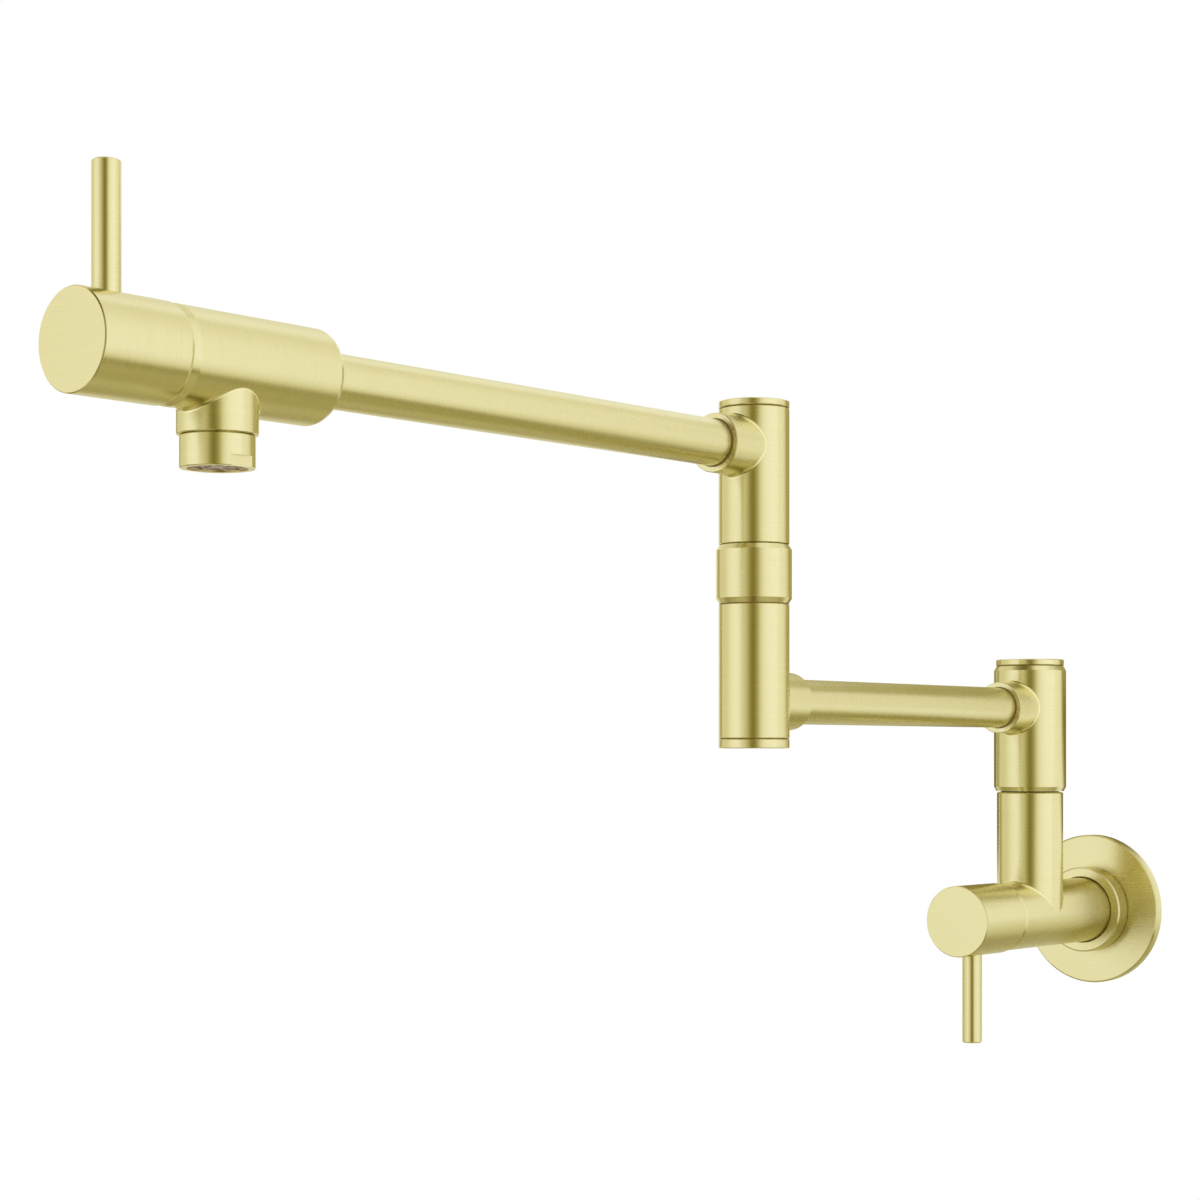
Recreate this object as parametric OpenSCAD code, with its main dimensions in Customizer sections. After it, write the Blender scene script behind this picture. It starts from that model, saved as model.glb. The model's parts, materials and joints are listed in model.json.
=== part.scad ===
// Wall mounted pot filler: a double jointed swing arm with a quarter turn valve at each end.
// The wall lies in the plane y = 0, the room is towards -y, and z is up.
// The origin is the centre of the inlet, on the lower valve's axis.

/* [Reach] */
// Distance from the wall to the centre line of the spout
spout_reach = 609.6; // [560:0.1:640]
// Distance from the wall to the axis of the inner column
inner_column_reach = 67.5; // [66:0.5:72]
// Distance between the axes of the two columns, along the first arm
arm_1_span = 236.4; // [200:0.1:250]

/* [Wall flange] */
// Diameter of the disc against the wall
flange_d = 78; // [70:1:90]
// Thickness of the disc
flange_t = 5; // [4:0.5:8]
// Bevel round the front of the disc
flange_bevel = 0.8; // [0.2:0.1:1.5]
// Wall of the ring that stands on the disc
hub_wall = 5.5; // [4.8:0.1:8]
// Height of the ring in front of the disc
hub_h = 9.4; // [8:0.2:14]
// Bevel round the front of the ring
hub_bevel = 0.7; // [0.2:0.1:1.2]
// Depth of the countersink inside the ring
hub_countersink = 1.5; // [0.5:0.1:2]
// Width of the foam gasket behind the disc
gasket_w = 5; // [3:0.5:8]
// Thickness of the foam gasket
gasket_t = 1.6; // [1:0.2:2]

/* [Lower valve body] */
// Diameter of the barrel that comes out of the wall
barrel_d = 33.4; // [33:0.1:34]
// Distance from the axis of the inner column to the end of the barrel
barrel_overhang = 33.1; // [32:0.1:42]
// Bevel round the end of the barrel, across
barrel_bevel = 0.5; // [0.2:0.1:0.8]
// The same bevel, along the axis
barrel_bevel_l = 2.6; // [0.5:0.1:3]
// Diameter of the riser on top of the barrel
riser_d = 33.2; // [32:0.1:33.2]
// Height of the riser's top above the inlet
riser_top = 62.4; // [58:0.1:63]
// Bevel round the riser's top
riser_bevel = 0.6; // [0.2:0.1:1]
// Minor diameter of the female half inch pipe thread
inlet_d = 18.6; // [18:0.1:19]
// Depth of the pipe thread
inlet_depth = 15; // [12:0.5:18]
// Diameter of the waterways
waterway_d = 11; // [9:0.5:12]

/* [Knobs and levers] */
// Wall of a knob round the hollow at its back
knob_wall = 2.5; // [2:0.1:3.5]
// Length of a knob
knob_length = 36.8; // [36:0.1:42]
// Gap between a knob and the body behind it
knob_gap = 0.3; // [0.2:0.1:1]
// Bevel round the front of a knob
knob_bevel = 0.4; // [0.1:0.1:1]
// Bevel round the back of a knob, across
knob_back_bevel = 0.5; // [0.2:0.1:1]
// The same bevel, along the axis
knob_back_bevel_l = 1.2; // [0.5:0.1:2]
// Gap between the cartridge's collar and the hollow
hollow_gap = 1.9; // [1:0.1:2.5]
// Depth of the hollow
knob_hollow_depth = 9.5; // [8.5:0.1:11]
// Diameter of a lever
lever_d = 9.6; // [8:0.1:11]
// Length of a lever from the valve's axis to its tip
lever_length = 60; // [45:1:80]
// Distance of a lever behind the knob's face
lever_setback = 14.1; // [12.5:0.1:16]
// Bevel round a lever's tip
lever_bevel = 0.5; // [0.1:0.1:1]
// Depth of the seat that a lever is screwed down on
lever_seat_depth = 2.4; // [1.6:0.1:3.4]
// Diameter of the thread at a lever's root, and of its grub screw
lever_thread_d = 6; // [5:0.5:6]
// Length of the thread at a lever's root
lever_thread_length = 6.6; // [5:0.1:7]

/* [Ceramic cartridge] */
// Diameter of the cartridge's thread
cartridge_thread_d = 22; // [21:0.5:23]
// Length of that thread
cartridge_thread_length = 15; // [12:0.5:16]
// Depth of the pocket for the cartridge
pocket_depth = 42.6; // [42:0.1:43]
// Gap between the cartridge's barrel and the pocket
pocket_gap = 1.8; // [1:0.1:2]
// Diameter of the cartridge's barrel
cartridge_d = 17.4; // [16.8:0.2:18]
// Wall of the barrel round the ceramic discs
cartridge_wall = 1.7; // [1.5:0.1:2]
// Thickness of a ceramic disc
disc_t = 3; // [2.5:0.1:3.5]
// Thickness of the rubber seat behind the discs
seat_t = 2; // [1.5:0.1:2.5]
// Diameter of the spindle
spindle_d = 8; // [7:0.2:8.4]
// Number of serrations on the spindle's end
serrations = 20; // [12:1:24]
// Size of the cartridge's hexagon across its corners
hexagon_d = 22.2; // [20:0.2:24]
// Height of the hexagon
hexagon_h = 4; // [3:0.2:4.4]
// Width of the collar under the hexagon, outside the thread
cartridge_collar_w = 2; // [1.5:0.1:3]
// Thickness of that collar
cartridge_collar_t = 1.2; // [1:0.1:1.6]
// Thickness of the fibre washer under the collar
fibre_t = 0.8; // [0.5:0.1:1]

/* [Arm tubes] */
// Outer diameter of both arm tubes
tube_d = 20; // [19:0.1:20.4]
// Wall of both arm tubes
tube_wall = 1.5; // [1:0.1:2]
// Depth of the sockets that hold the tubes
socket_depth = 12; // [10:0.5:12]
// Wall of the bosses round the sockets
boss_wall = 2.7; // [2.6:0.1:3.5]
// Depth of the countersink in a boss's face
boss_countersink = 0.4; // [0.3:0.1:0.8]
// Width of the flat ring round the countersink
boss_ring = 2; // [1.2:0.1:2.2]
// Bevel round a boss's face
boss_bevel = 0.3; // [0.1:0.1:0.5]

/* [Inner swivel column] */
// Diameter of the sleeve that carries the first arm
sleeve_d = 36.2; // [35:0.1:38]
// Distance from the first arm's axis down to the sleeve's bottom
sleeve_drop = 42; // [41:0.1:47]
// Gap between the top of the inner post and the cap above it
inner_headroom = 4.4; // [0.2:0.1:6]
// Gap between the riser and the sleeve
inner_gap = 0.6; // [0.4:0.1:1.2]
// Bevel round both ends of the sleeve, across
sleeve_bevel = 1.2; // [0.5:0.1:1.5]
// The same bevel, along the axis
sleeve_bevel_h = 2.2; // [1:0.1:3]
// Metal between the sleeve's water chamber and its socket
inner_socket_floor = 7.6; // [6:0.1:10]
// Distance of the cap's side in from the sleeve's side
inner_cap_inset = 1.1; // [0.6:0.1:2]
// Thickness of the cap on top of the sleeve
inner_cap_t = 3.4; // [2:0.1:5]

/* [Outer swivel column] */
// Diameter of the outer column
column_d = 30.8; // [30.4:0.1:32]
// Distance from the first arm's axis down to the bottom of the lower body
lower_body_drop = 16.3; // [15:0.1:20]
// Thickness of the bottom cap
bottom_cap_t = 4.4; // [2:0.1:5]
// Distance from the first arm's axis up to the top of the lower body
lower_body_rise = 41.7; // [38:0.1:46]
// Height of the collar on the lower body
collar_h = 25.9; // [20:0.1:26]
// Step from the column's side out to the collar's
collar_step = 1.1; // [0.6:0.1:1.6]
// Bevel round both ends of the collar, along the axis
collar_bevel_h = 2.2; // [1:0.1:3]
// Gap between the collar and the upper body
outer_gap = 0.4; // [0.3:0.1:0.8]
// Distance from the second arm's axis down to the bottom of the upper body
upper_body_drop = 41.6; // [38:0.1:46]
// Gap between the top of the outer post and the cap above it
outer_headroom = 0.2; // [0.1:0.1:4]
// Thickness of the cap on the upper body
top_cap_t = 3.3; // [2:0.1:5]
// Metal between the bore and the socket of the lower body
lower_socket_floor = 2.9; // [2:0.1:6]
// Metal between the water chamber and the socket of the upper body
upper_socket_floor = 5.5; // [2:0.1:8]
// Bevel along the seams of the column
seam_bevel = 0.3; // [0.1:0.1:0.5]
// Height of the narrow groove along a seam that doesn't turn
groove_h = 0.5; // [0.3:0.1:0.8]
// Depth of that groove
groove_depth = 1.2; // [0.8:0.1:1.5]

/* [Swivel posts] */
// Diameter of the hollow posts that the columns turn on
post_d = 18; // [17:0.1:18]
// Length of the inner post below the seam
inner_post_root = 18; // [14:0.5:20]
// Length of the outer post below the collar
outer_post_root = 20; // [14:0.5:22]
// Gap between a post and the side of the water chamber round it
chamber_gap = 2.5; // [2:0.1:2.5]
// Height of the water chamber
chamber_h = 12; // [10:0.5:12]
// Height of the sealing lands above and below the chamber
land_h = 4; // [3.6:0.1:4]
// Diameter of the cross holes in a post
cross_hole_d = 8; // [6:0.5:9]
// Wall of the bearing bushes
bush_wall = 2.5; // [1.8:0.1:2.5]
// Length of the bearing bushes
bush_h = 12; // [8:0.5:14]
// Width of the bush's flange across the seam
bush_flange_w = 2; // [1:0.1:2.5]
// Thickness of the slip washer on top of the hub
slip_washer_t = 0.8; // [0.5:0.1:1]
// Thickness of the retaining rings
retainer_t = 1.2; // [1:0.1:1.4]
// Depth of the spigot under each cap
cap_spigot = 3.6; // [2:0.1:3.6]

/* [Head and spout] */
// Diameter of the head
head_d = 34.4; // [34:0.1:36]
// Distance from the spout's axis to the back of the head
head_back = 43.2; // [40:0.1:60]
// Distance from the spout's axis to the front of the head
head_front = 24.2; // [24:0.1:26]
// Bevel round the back of the head, across
head_bevel = 0.5; // [0.1:0.1:1]
// The same bevel, along the axis
head_bevel_l = 1.4; // [0.5:0.1:2]
// Bevel round the front of the head, across
head_front_bevel = 0.9; // [0.2:0.1:1.2]
// The same bevel, along the axis
head_front_bevel_l = 3; // [0.5:0.1:3.5]
// Wall of the spout stub round the aerator's thread
spout_wall = 2.95; // [2.5:0.05:3.5]
// Length of the spout stub below the head
spout_length = 7.5; // [5:0.1:12]
// Diameter of the waterway in the stub
spout_bore_d = 12; // [10:0.5:12]

/* [Aerator] */
// Step from the shell's thread out to its side
aerator_step = 1.9; // [1.5:0.1:2.2]
// Visible height of the shell
aerator_h = 11.1; // [10.5:0.1:15]
// Gap between the stub and the shell
aerator_gap = 0.25; // [0.1:0.05:0.5]
// Diameter of the shell's thread
aerator_thread_d = 22; // [21:0.1:23]
// Length of the shell's thread
aerator_thread_length = 8; // [6:0.1:8.5]
// Thickness of the rubber washer above the thread
aerator_washer_t = 1; // [0.8:0.1:1.6]
// Wall of the shell under its thread
aerator_wall = 1.7; // [1.5:0.1:2.2]
// Step from the shell's bore out to the recess at its mouth
mouth_step = 1.2; // [1:0.1:1.5]
// Depth of that recess
aerator_mouth_h = 2.6; // [2:0.1:3]
// Depth of the shell's two wrench flats
flat_depth = 0.95; // [0.5:0.05:1.2]
// Height of the wrench flats
flats_h = 3.8; // [3:0.1:5]
// Thickness of the insert's notched rim
insert_rim_t = 2; // [1.5:0.1:2.4]
// Height of the insert above its rim
insert_h = 9; // [7:0.5:11]
// Number of notches round the insert's rim
insert_notches = 8; // [6:1:12]
// Width of a notch
notch_w = 3; // [2:0.1:3.4]
// Width of the ribs between the insert's slots
insert_rib = 1.2; // [0.8:0.1:1.5]
// Thickness of the screen on top of the insert
screen_t = 0.6; // [0.4:0.1:1]
// Diameter of the holes in the screen
screen_hole_d = 1.6; // [1:0.1:1.8]
// Distance between the holes in the screen
screen_pitch = 2.6; // [2.4:0.1:3]

/* [Fits and rings] */
// Radial clearance of every turning fit
run_fit = 0.05; // [0.02:0.01:0.08]
// Clearance of every screwed, pressed or sealed joint
seat_fit = 0.05; // [0.02:0.01:0.1]
// Gap between faces that turn on each other
lap_gap = 0.1; // [0.05:0.01:0.15]
// Thickness of the rings that seal the posts and tubes
ring_t = 1.4; // [1:0.1:1.6]
// Thickness of the ring that seals the spindle
spindle_ring_t = 1.2; // [1:0.1:1.4]
// Thickness of the ring that holds the flange on the barrel
grip_ring_t = 2; // [1.5:0.1:2.4]
// Extra length of every cut
overrun = 1; // [0.5:0.1:2]

/* [Hidden] */
$fn = 96;

barrel_r = barrel_d / 2;
hub_r = barrel_r + hub_wall;
riser_r = riser_d / 2;
sleeve_r = sleeve_d / 2;
inner_cap_r = sleeve_r - inner_cap_inset;
column_r = column_d / 2;
collar_r = column_r + collar_step;
head_r = head_d / 2;
post_r = post_d / 2;
chamber_r = post_r + chamber_gap;
bush_r = post_r + bush_wall;
tube_r = tube_d / 2;
boss_r = tube_r + boss_wall;
lever_r = lever_d / 2;
spindle_r = spindle_d / 2;

// From the cartridge out to the knob
pocket_r = cartridge_d / 2 + pocket_gap;
disc_bore_r = cartridge_d / 2 - cartridge_wall;
cartridge_collar_r = cartridge_thread_d / 2 + cartridge_collar_w;
knob_hollow_r = cartridge_collar_r + hollow_gap;
knob_r = knob_hollow_r + knob_wall;
lever_seat = knob_r - lever_seat_depth;

// From the aerator's thread outwards and inwards
spout_r = aerator_thread_d / 2 + spout_wall;
aerator_r = aerator_thread_d / 2 + aerator_step;
aerator_bore_r = aerator_thread_d / 2 - aerator_wall;
aerator_mouth_r = aerator_bore_r + mouth_step;

// Heights along a post, from the axis of the arm that it feeds
shoulder_h = chamber_h / 2 + land_h;
ring_h = (chamber_h + land_h) / 2;
retainer_h = shoulder_h + slip_washer_t + lap_gap;
post_top_h = retainer_h + retainer_t * 2;
post_groove_d = post_d - 2 * retainer_t;

// Places along the reach
barrel_length = inner_column_reach + barrel_overhang;
outer_column_reach = inner_column_reach + arm_1_span;
head_back_reach = spout_reach - head_back;
head_front_reach = spout_reach + head_front;
inner_boss_reach = chamber_r + inner_socket_floor + socket_depth;
lower_boss_reach = chamber_r + lower_socket_floor + socket_depth;
upper_boss_reach = chamber_r + upper_socket_floor + socket_depth;

// Heights, each from the piece below it
sleeve_bottom = riser_top + inner_gap;
arm_1_height = sleeve_bottom + sleeve_drop;
sleeve_top = arm_1_height + post_top_h + inner_headroom + cap_spigot;
sleeve_h = sleeve_top - sleeve_bottom;
lower_body_bottom = arm_1_height - lower_body_drop;
lower_body_top = arm_1_height + lower_body_rise;
collar_top = lower_body_top + collar_h;
upper_body_bottom = collar_top + outer_gap;
arm_2_height = upper_body_bottom + upper_body_drop;
upper_body_top = arm_2_height + post_top_h + outer_headroom + cap_spigot;
spout_drop = head_r + spout_length;
spout_end = arm_2_height - spout_drop;
shell_top = spout_end - aerator_gap;
shell_bottom = shell_top - aerator_h;

// Heights in the cartridge, from the face of the body that holds it
hexagon_bottom = fibre_t + cartridge_collar_t;
hexagon_top = hexagon_bottom + hexagon_h;
disc_r = disc_bore_r - run_fit;
disc_seat = seat_t - pocket_depth;
disc_split = disc_seat + disc_t + lap_gap / 2;
disc_top = disc_split + disc_t + lap_gap / 2;
carrier_top = -cartridge_thread_length;
carrier_h = disc_t * 4 / 3;
dog_h = disc_t / 2;
clip_t = fibre_t;
spindle_groove_d = spindle_d - 2 * clip_t;
spindle_ring_place = carrier_top / 2;
lever_place = knob_gap + knob_length - lever_setback;
serration_bottom = hexagon_top + lap_gap + 2 * clip_t;
spindle_end = lever_place + lever_thread_d * 3 / 4;
serration_depth = spindle_r / 10;

// Angles of the ports and dogs of the ceramic discs
port_angle = 76;
dog_angle = 30;
port_shares = [0.25, 0.85];
dog_share = 0.62;

brushed_gold = [0.89, 0.85, 0.62];
raw_brass = [0.78, 0.64, 0.36];
ceramic_white = [0.93, 0.92, 0.88];
rubber_black = [0.12, 0.12, 0.12];
acetal_white = [0.86, 0.86, 0.84];
steel_grey = [0.72, 0.73, 0.75];
insert_pink = [0.68, 0.58, 0.54];
foam_grey = [0.35, 0.35, 0.36];

// Puts a piece that is drawn up the z axis so that it points into the room
module toward_room(reach, height) {
    translate([0, -reach, height])
        rotate([90, 0, 0])
            children();
}

module on_inner_column(height = 0) {
    translate([0, -inner_column_reach, height])
        children();
}

module on_outer_column(height = 0) {
    translate([0, -outer_column_reach, height])
        children();
}

module on_spout(height = 0) {
    translate([0, -spout_reach, height])
        children();
}

module at_lower_valve() {
    toward_room(barrel_length, 0)
        children();
}

module at_upper_valve() {
    toward_room(head_front_reach, arm_2_height)
        children();
}

// A round bar with a bevel at each end, given as [across, along]
module bar(r, h, low = [0, 0], high = [0, 0]) {
    rotate_extrude()
        polygon([
            [0, 0], [r - low[0], 0], [r, low[1]],
            [r, h - high[1]], [r - high[0], h], [0, h]
        ]);
}

// Such a bar on a neck, which leaves a narrow groove along the seam below it
module necked_bar(r, neck_r, h, low, high) {
    cylinder(r = neck_r, h = groove_h);
    translate([0, 0, groove_h])
        bar(r, h - groove_h, low, high);
}

module ring(outer_r, inner_r, h) {
    difference() {
        cylinder(r = outer_r, h = h);
        translate([0, 0, -h])
            cylinder(r = inner_r, h = 3 * h);
    }
}

// A rubber ring that fills the gap inside a bore
module ring_in_bore(bore_r, thickness) {
    rotate_extrude()
        translate([bore_r - seat_fit - thickness / 2, 0])
            circle(d = thickness);
}

// The groove in a shaft that such a ring lies in
module shaft_groove(bore_r, thickness) {
    translate([0, 0, -thickness / 2 - seat_fit])
        ring(bore_r + overrun, bore_r - thickness - 2 * seat_fit, thickness + 2 * seat_fit);
}

// A slice of a circle between two angles
module sector(r, from, to) {
    steps = 6;
    polygon(concat([[0, 0]], [
        for (i = [0:steps])
            let (a = from + (to - from) * i / steps)
                [r * cos(a), r * sin(a)]
    ]));
}

module ring_sector(outer_r, inner_r, middle, width) {
    intersection() {
        difference() {
            circle(r = outer_r);
            circle(r = inner_r);
        }
        sector(2 * outer_r, middle - width / 2, middle + width / 2);
    }
}

// The serrated outline of the spindle's end and of its socket
module serrated_outline(tip_r) {
    polygon([
        for (i = [0:2 * serrations - 1])
            let (r = tip_r - (i % 2) * serration_depth, a = 180 * i / serrations)
                [r * cos(a), r * sin(a)]
    ]);
}

// Fits shared by the hubs, the posts and the tubes

// The boss that holds an arm tube, from the column's axis outwards
module boss(reach) {
    bar(boss_r, reach, [0, 0], [boss_bevel, boss_bevel]);
}

// The socket for a tube, its countersink, its ring groove and the port behind it
module tube_socket(reach, port_depth) {
    translate([0, 0, reach - socket_depth])
        cylinder(r = tube_r + seat_fit, h = socket_depth + overrun);
    translate([0, 0, reach - boss_countersink])
        cylinder(
            r1 = tube_r + seat_fit,
            r2 = boss_r - boss_bevel - boss_ring,
            h = boss_countersink
        );
    translate([0, 0, reach - socket_depth / 2])
        tube_ring_groove();
    translate([0, 0, reach - socket_depth - port_depth])
        cylinder(d = waterway_d, h = port_depth + overrun);
}

module tube_ring_groove() {
    translate([0, 0, -ring_t / 2 - seat_fit])
        cylinder(r = tube_r + ring_t + 2 * seat_fit, h = ring_t + 2 * seat_fit);
}

module tube_ring() {
    ring_in_bore(tube_r + ring_t + 2 * seat_fit, ring_t);
}

// What is bored out of a hub that turns on a post, with z = 0 on the arm's axis
module hub_bores(bottom, top) {
    translate([0, 0, bottom - overrun])
        cylinder(r = post_r + run_fit, h = top - bottom + 2 * overrun);
    translate([0, 0, bottom - overrun])
        cylinder(r = bush_r + seat_fit, h = bush_h + overrun);
    translate([0, 0, -chamber_h / 2])
        cylinder(r = chamber_r, h = chamber_h);
    translate([0, 0, shoulder_h])
        cylinder(r = chamber_r, h = top - shoulder_h + overrun);
}

module post(bottom) {
    difference() {
        translate([0, 0, bottom])
            bar(post_r, post_top_h - bottom, [seam_bevel, seam_bevel], [seam_bevel, seam_bevel]);
        translate([0, 0, bottom - overrun])
            cylinder(d = waterway_d, h = cross_hole_d / 2 + overrun - bottom);
        for (turn = [0, 90])
            rotate([90, 0, turn])
                cylinder(d = cross_hole_d, h = 2 * post_d, center = true);
        for (side = [-1, 1])
            translate([0, 0, side * ring_h])
                shaft_groove(post_r + run_fit, ring_t);
        translate([0, 0, retainer_h - seat_fit])
            ring(post_r + overrun, post_groove_d / 2, retainer_t + 2 * seat_fit);
    }
}

module post_rings() {
    for (side = [-1, 1])
        translate([0, 0, side * ring_h])
            ring_in_bore(post_r + run_fit, ring_t);
}

// A flanged bearing bush, with its flange across the seam below z = 0
module bush(seam_r, gap) {
    difference() {
        union() {
            cylinder(r = bush_r, h = bush_h);
            translate([0, 0, lap_gap - gap])
                cylinder(r = seam_r - bush_flange_w, h = gap - lap_gap);
        }
        translate([0, 0, -gap])
            cylinder(r = post_r + run_fit, h = bush_h + gap + overrun);
    }
}

module slip_washer() {
    translate([0, 0, shoulder_h])
        ring(chamber_r - seat_fit, post_r + run_fit, slip_washer_t);
}

// An open retaining ring in the groove of a post or spindle
module retainer(outer_r, groove_r, thickness) {
    difference() {
        ring(outer_r, groove_r + seat_fit, thickness);
        translate([0, -groove_r / 2, -overrun])
            cube([2 * outer_r, groove_r, thickness + 2 * overrun]);
    }
}

module column_retainer() {
    translate([0, 0, retainer_h])
        retainer(chamber_r - 2 * run_fit - retainer_t / 2, post_groove_d / 2, retainer_t);
}

// A cap with a spigot below z = 0
module cap(r, thickness) {
    necked_bar(
        r,
        r - groove_depth,
        thickness,
        [seam_bevel, seam_bevel],
        [seam_bevel, seam_bevel]
    );
    translate([0, 0, -cap_spigot])
        cylinder(r = chamber_r - seat_fit, h = cap_spigot);
}

module tube(from, to, height) {
    toward_room(from, height)
        ring(tube_r, tube_r - tube_wall, to - from);
}

// Pieces of a valve, with z = 0 on the face of the body and the room towards +z

module cartridge_pocket() {
    translate([0, 0, -cartridge_thread_length])
        cylinder(r = cartridge_thread_d / 2 + seat_fit, h = cartridge_thread_length + overrun);
    translate([0, 0, -pocket_depth])
        cylinder(r = pocket_r, h = pocket_depth);
}

module cartridge_housing() {
    window_w = cartridge_d / 2;
    window_bottom = disc_top + disc_t / 2;
    window_h = carrier_top - carrier_h - window_bottom;
    difference() {
        union() {
            translate([0, 0, disc_seat])
                cylinder(d = cartridge_d, h = -disc_seat);
            translate([0, 0, -cartridge_thread_length])
                cylinder(d = cartridge_thread_d, h = cartridge_thread_length + fibre_t);
            translate([0, 0, fibre_t])
                cylinder(r = cartridge_collar_r, h = cartridge_collar_t);
            translate([0, 0, hexagon_bottom])
                cylinder(d = hexagon_d, h = hexagon_h, $fn = 6);
        }
        translate([0, 0, disc_seat - overrun])
            cylinder(r = disc_bore_r, h = carrier_top + lap_gap - disc_seat + overrun);
        translate([0, 0, disc_seat])
            cylinder(r = spindle_r + run_fit, h = hexagon_top - disc_seat + overrun);
        translate([-window_w / 2, -cartridge_d, window_bottom])
            cube([window_w, 2 * cartridge_d, window_h]);
    }
}

module seat_seal() {
    translate([0, 0, -pocket_depth])
        ring(cartridge_d / 2, waterway_d / 2, seat_t);
}

module ceramic_disc(port_turn) {
    linear_extrude(disc_t)
        difference() {
            circle(r = disc_r);
            for (side = [0, 180])
                ring_sector(
                    disc_r * port_shares[1],
                    disc_r * port_shares[0],
                    port_turn + side,
                    port_angle
                );
        }
}

module fixed_disc() {
    translate([0, 0, disc_seat])
        ceramic_disc(0);
}

module moving_disc() {
    translate([0, 0, disc_split + lap_gap / 2])
        difference() {
            ceramic_disc(90);
            translate([0, 0, disc_t - dog_h - seat_fit])
                linear_extrude(disc_t)
                    for (side = [0, 180])
                        ring_sector(
                            disc_r + overrun,
                            disc_r * dog_share - seat_fit,
                            side,
                            dog_angle * 1.1
                        );
        }
}

module spindle() {
    leg_top = carrier_top - carrier_h;
    difference() {
        union() {
            translate([0, 0, leg_top])
                cylinder(r = disc_r, h = carrier_h);
            translate([0, 0, leg_top])
                cylinder(r = spindle_r, h = serration_bottom - leg_top);
            translate([0, 0, disc_top + seat_fit])
                linear_extrude(leg_top - disc_top)
                    for (side = [0, 180])
                        ring_sector(disc_r, disc_r * dog_share, side, 2 * dog_angle);
            translate([0, 0, disc_top - dog_h])
                linear_extrude(disc_t)
                    for (side = [0, 180])
                        ring_sector(disc_r, disc_r * dog_share, side, dog_angle);
            translate([0, 0, serration_bottom])
                linear_extrude(spindle_end - serration_bottom)
                    serrated_outline(spindle_r);
        }
        translate([0, 0, spindle_ring_place])
            shaft_groove(spindle_r + run_fit, spindle_ring_t);
        translate([0, 0, hexagon_top + lap_gap - seat_fit])
            ring(spindle_r + overrun, spindle_groove_d / 2, clip_t + 2 * seat_fit);
    }
}

module spindle_ring() {
    translate([0, 0, spindle_ring_place])
        ring_in_bore(spindle_r + run_fit, spindle_ring_t);
}

module spindle_clip() {
    translate([0, 0, hexagon_top + lap_gap])
        retainer(spindle_r + 2 * clip_t, spindle_groove_d / 2, clip_t);
}

module fibre_washer() {
    ring(cartridge_collar_r, cartridge_thread_d / 2 + seat_fit, fibre_t);
}

module knob(lever_turn) {
    difference() {
        translate([0, 0, knob_gap])
            bar(
                knob_r,
                knob_length,
                [knob_back_bevel, knob_back_bevel_l],
                [knob_bevel, knob_bevel]
            );
        translate([0, 0, knob_gap - overrun])
            cylinder(r = knob_hollow_r, h = knob_hollow_depth + overrun);
        linear_extrude(spindle_end + seat_fit)
            serrated_outline(spindle_r + seat_fit);
        translate([0, 0, lever_place])
            rotate([-90, 0, lever_turn]) {
                cylinder(r = lever_thread_d / 2 + seat_fit, h = 2 * knob_r);
                translate([0, 0, lever_seat])
                    cylinder(r = lever_r + seat_fit, h = 2 * knob_r);
            }
    }
}

module lever(lever_turn) {
    translate([0, 0, lever_place])
        rotate([-90, 0, lever_turn]) {
            translate([0, 0, lever_seat])
                bar(lever_r, lever_length - lever_seat, [0, 0], [lever_bevel, lever_bevel]);
            translate([0, 0, lever_seat - lever_thread_length])
                cylinder(d = lever_thread_d, h = lever_thread_length);
        }
}

module grub_screw(lever_turn) {
    screw_bottom = spindle_r + seat_fit;
    screw_h = lever_seat - lever_thread_length - screw_bottom - seat_fit;
    translate([0, 0, lever_place])
        rotate([-90, 0, lever_turn])
            translate([0, 0, screw_bottom])
                difference() {
                    cylinder(d = lever_thread_d, h = screw_h);
                    translate([0, 0, screw_h / 2])
                        cylinder(d = lever_thread_d / 2, h = screw_h, $fn = 6);
                }
}

// Wall group

module wall_flange() {
    color(brushed_gold)
        toward_room(0, 0)
            difference() {
                bar(flange_d / 2, flange_t, [0, 0], [flange_bevel, flange_bevel]);
                translate([0, 0, -overrun])
                    cylinder(r = barrel_r + seat_fit, h = flange_t + 2 * overrun);
                translate([0, 0, -overrun])
                    ring(
                        flange_d / 2 - gasket_w / 2 + seat_fit,
                        flange_d / 2 - gasket_w * 3 / 2 - seat_fit,
                        gasket_t + overrun
                    );
            }
}

module wall_gasket() {
    color(foam_grey)
        toward_room(0, 0)
            ring(flange_d / 2 - gasket_w / 2, flange_d / 2 - gasket_w * 3 / 2, gasket_t);
}

module flange_hub() {
    color(brushed_gold)
        toward_room(flange_t, 0)
            difference() {
                necked_bar(
                    hub_r,
                    hub_r - groove_depth,
                    hub_h,
                    [0, 0],
                    [hub_bevel, hub_bevel]
                );
                translate([0, 0, -overrun])
                    cylinder(r = barrel_r + seat_fit, h = hub_h + 2 * overrun);
                translate([0, 0, hub_h - hub_countersink])
                    cylinder(
                        r1 = barrel_r + seat_fit,
                        r2 = barrel_r + seat_fit + hub_countersink / 2,
                        h = hub_countersink + seat_fit
                    );
                translate([0, 0, hub_h / 2 - grip_ring_t / 2 - seat_fit])
                    cylinder(
                        r = barrel_r + grip_ring_t + 2 * seat_fit,
                        h = grip_ring_t + 2 * seat_fit
                    );
            }
}

module flange_grip_ring() {
    color(rubber_black)
        toward_room(flange_t + hub_h / 2, 0)
            ring_in_bore(barrel_r + grip_ring_t + 2 * seat_fit, grip_ring_t);
}

// Lower valve

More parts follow.
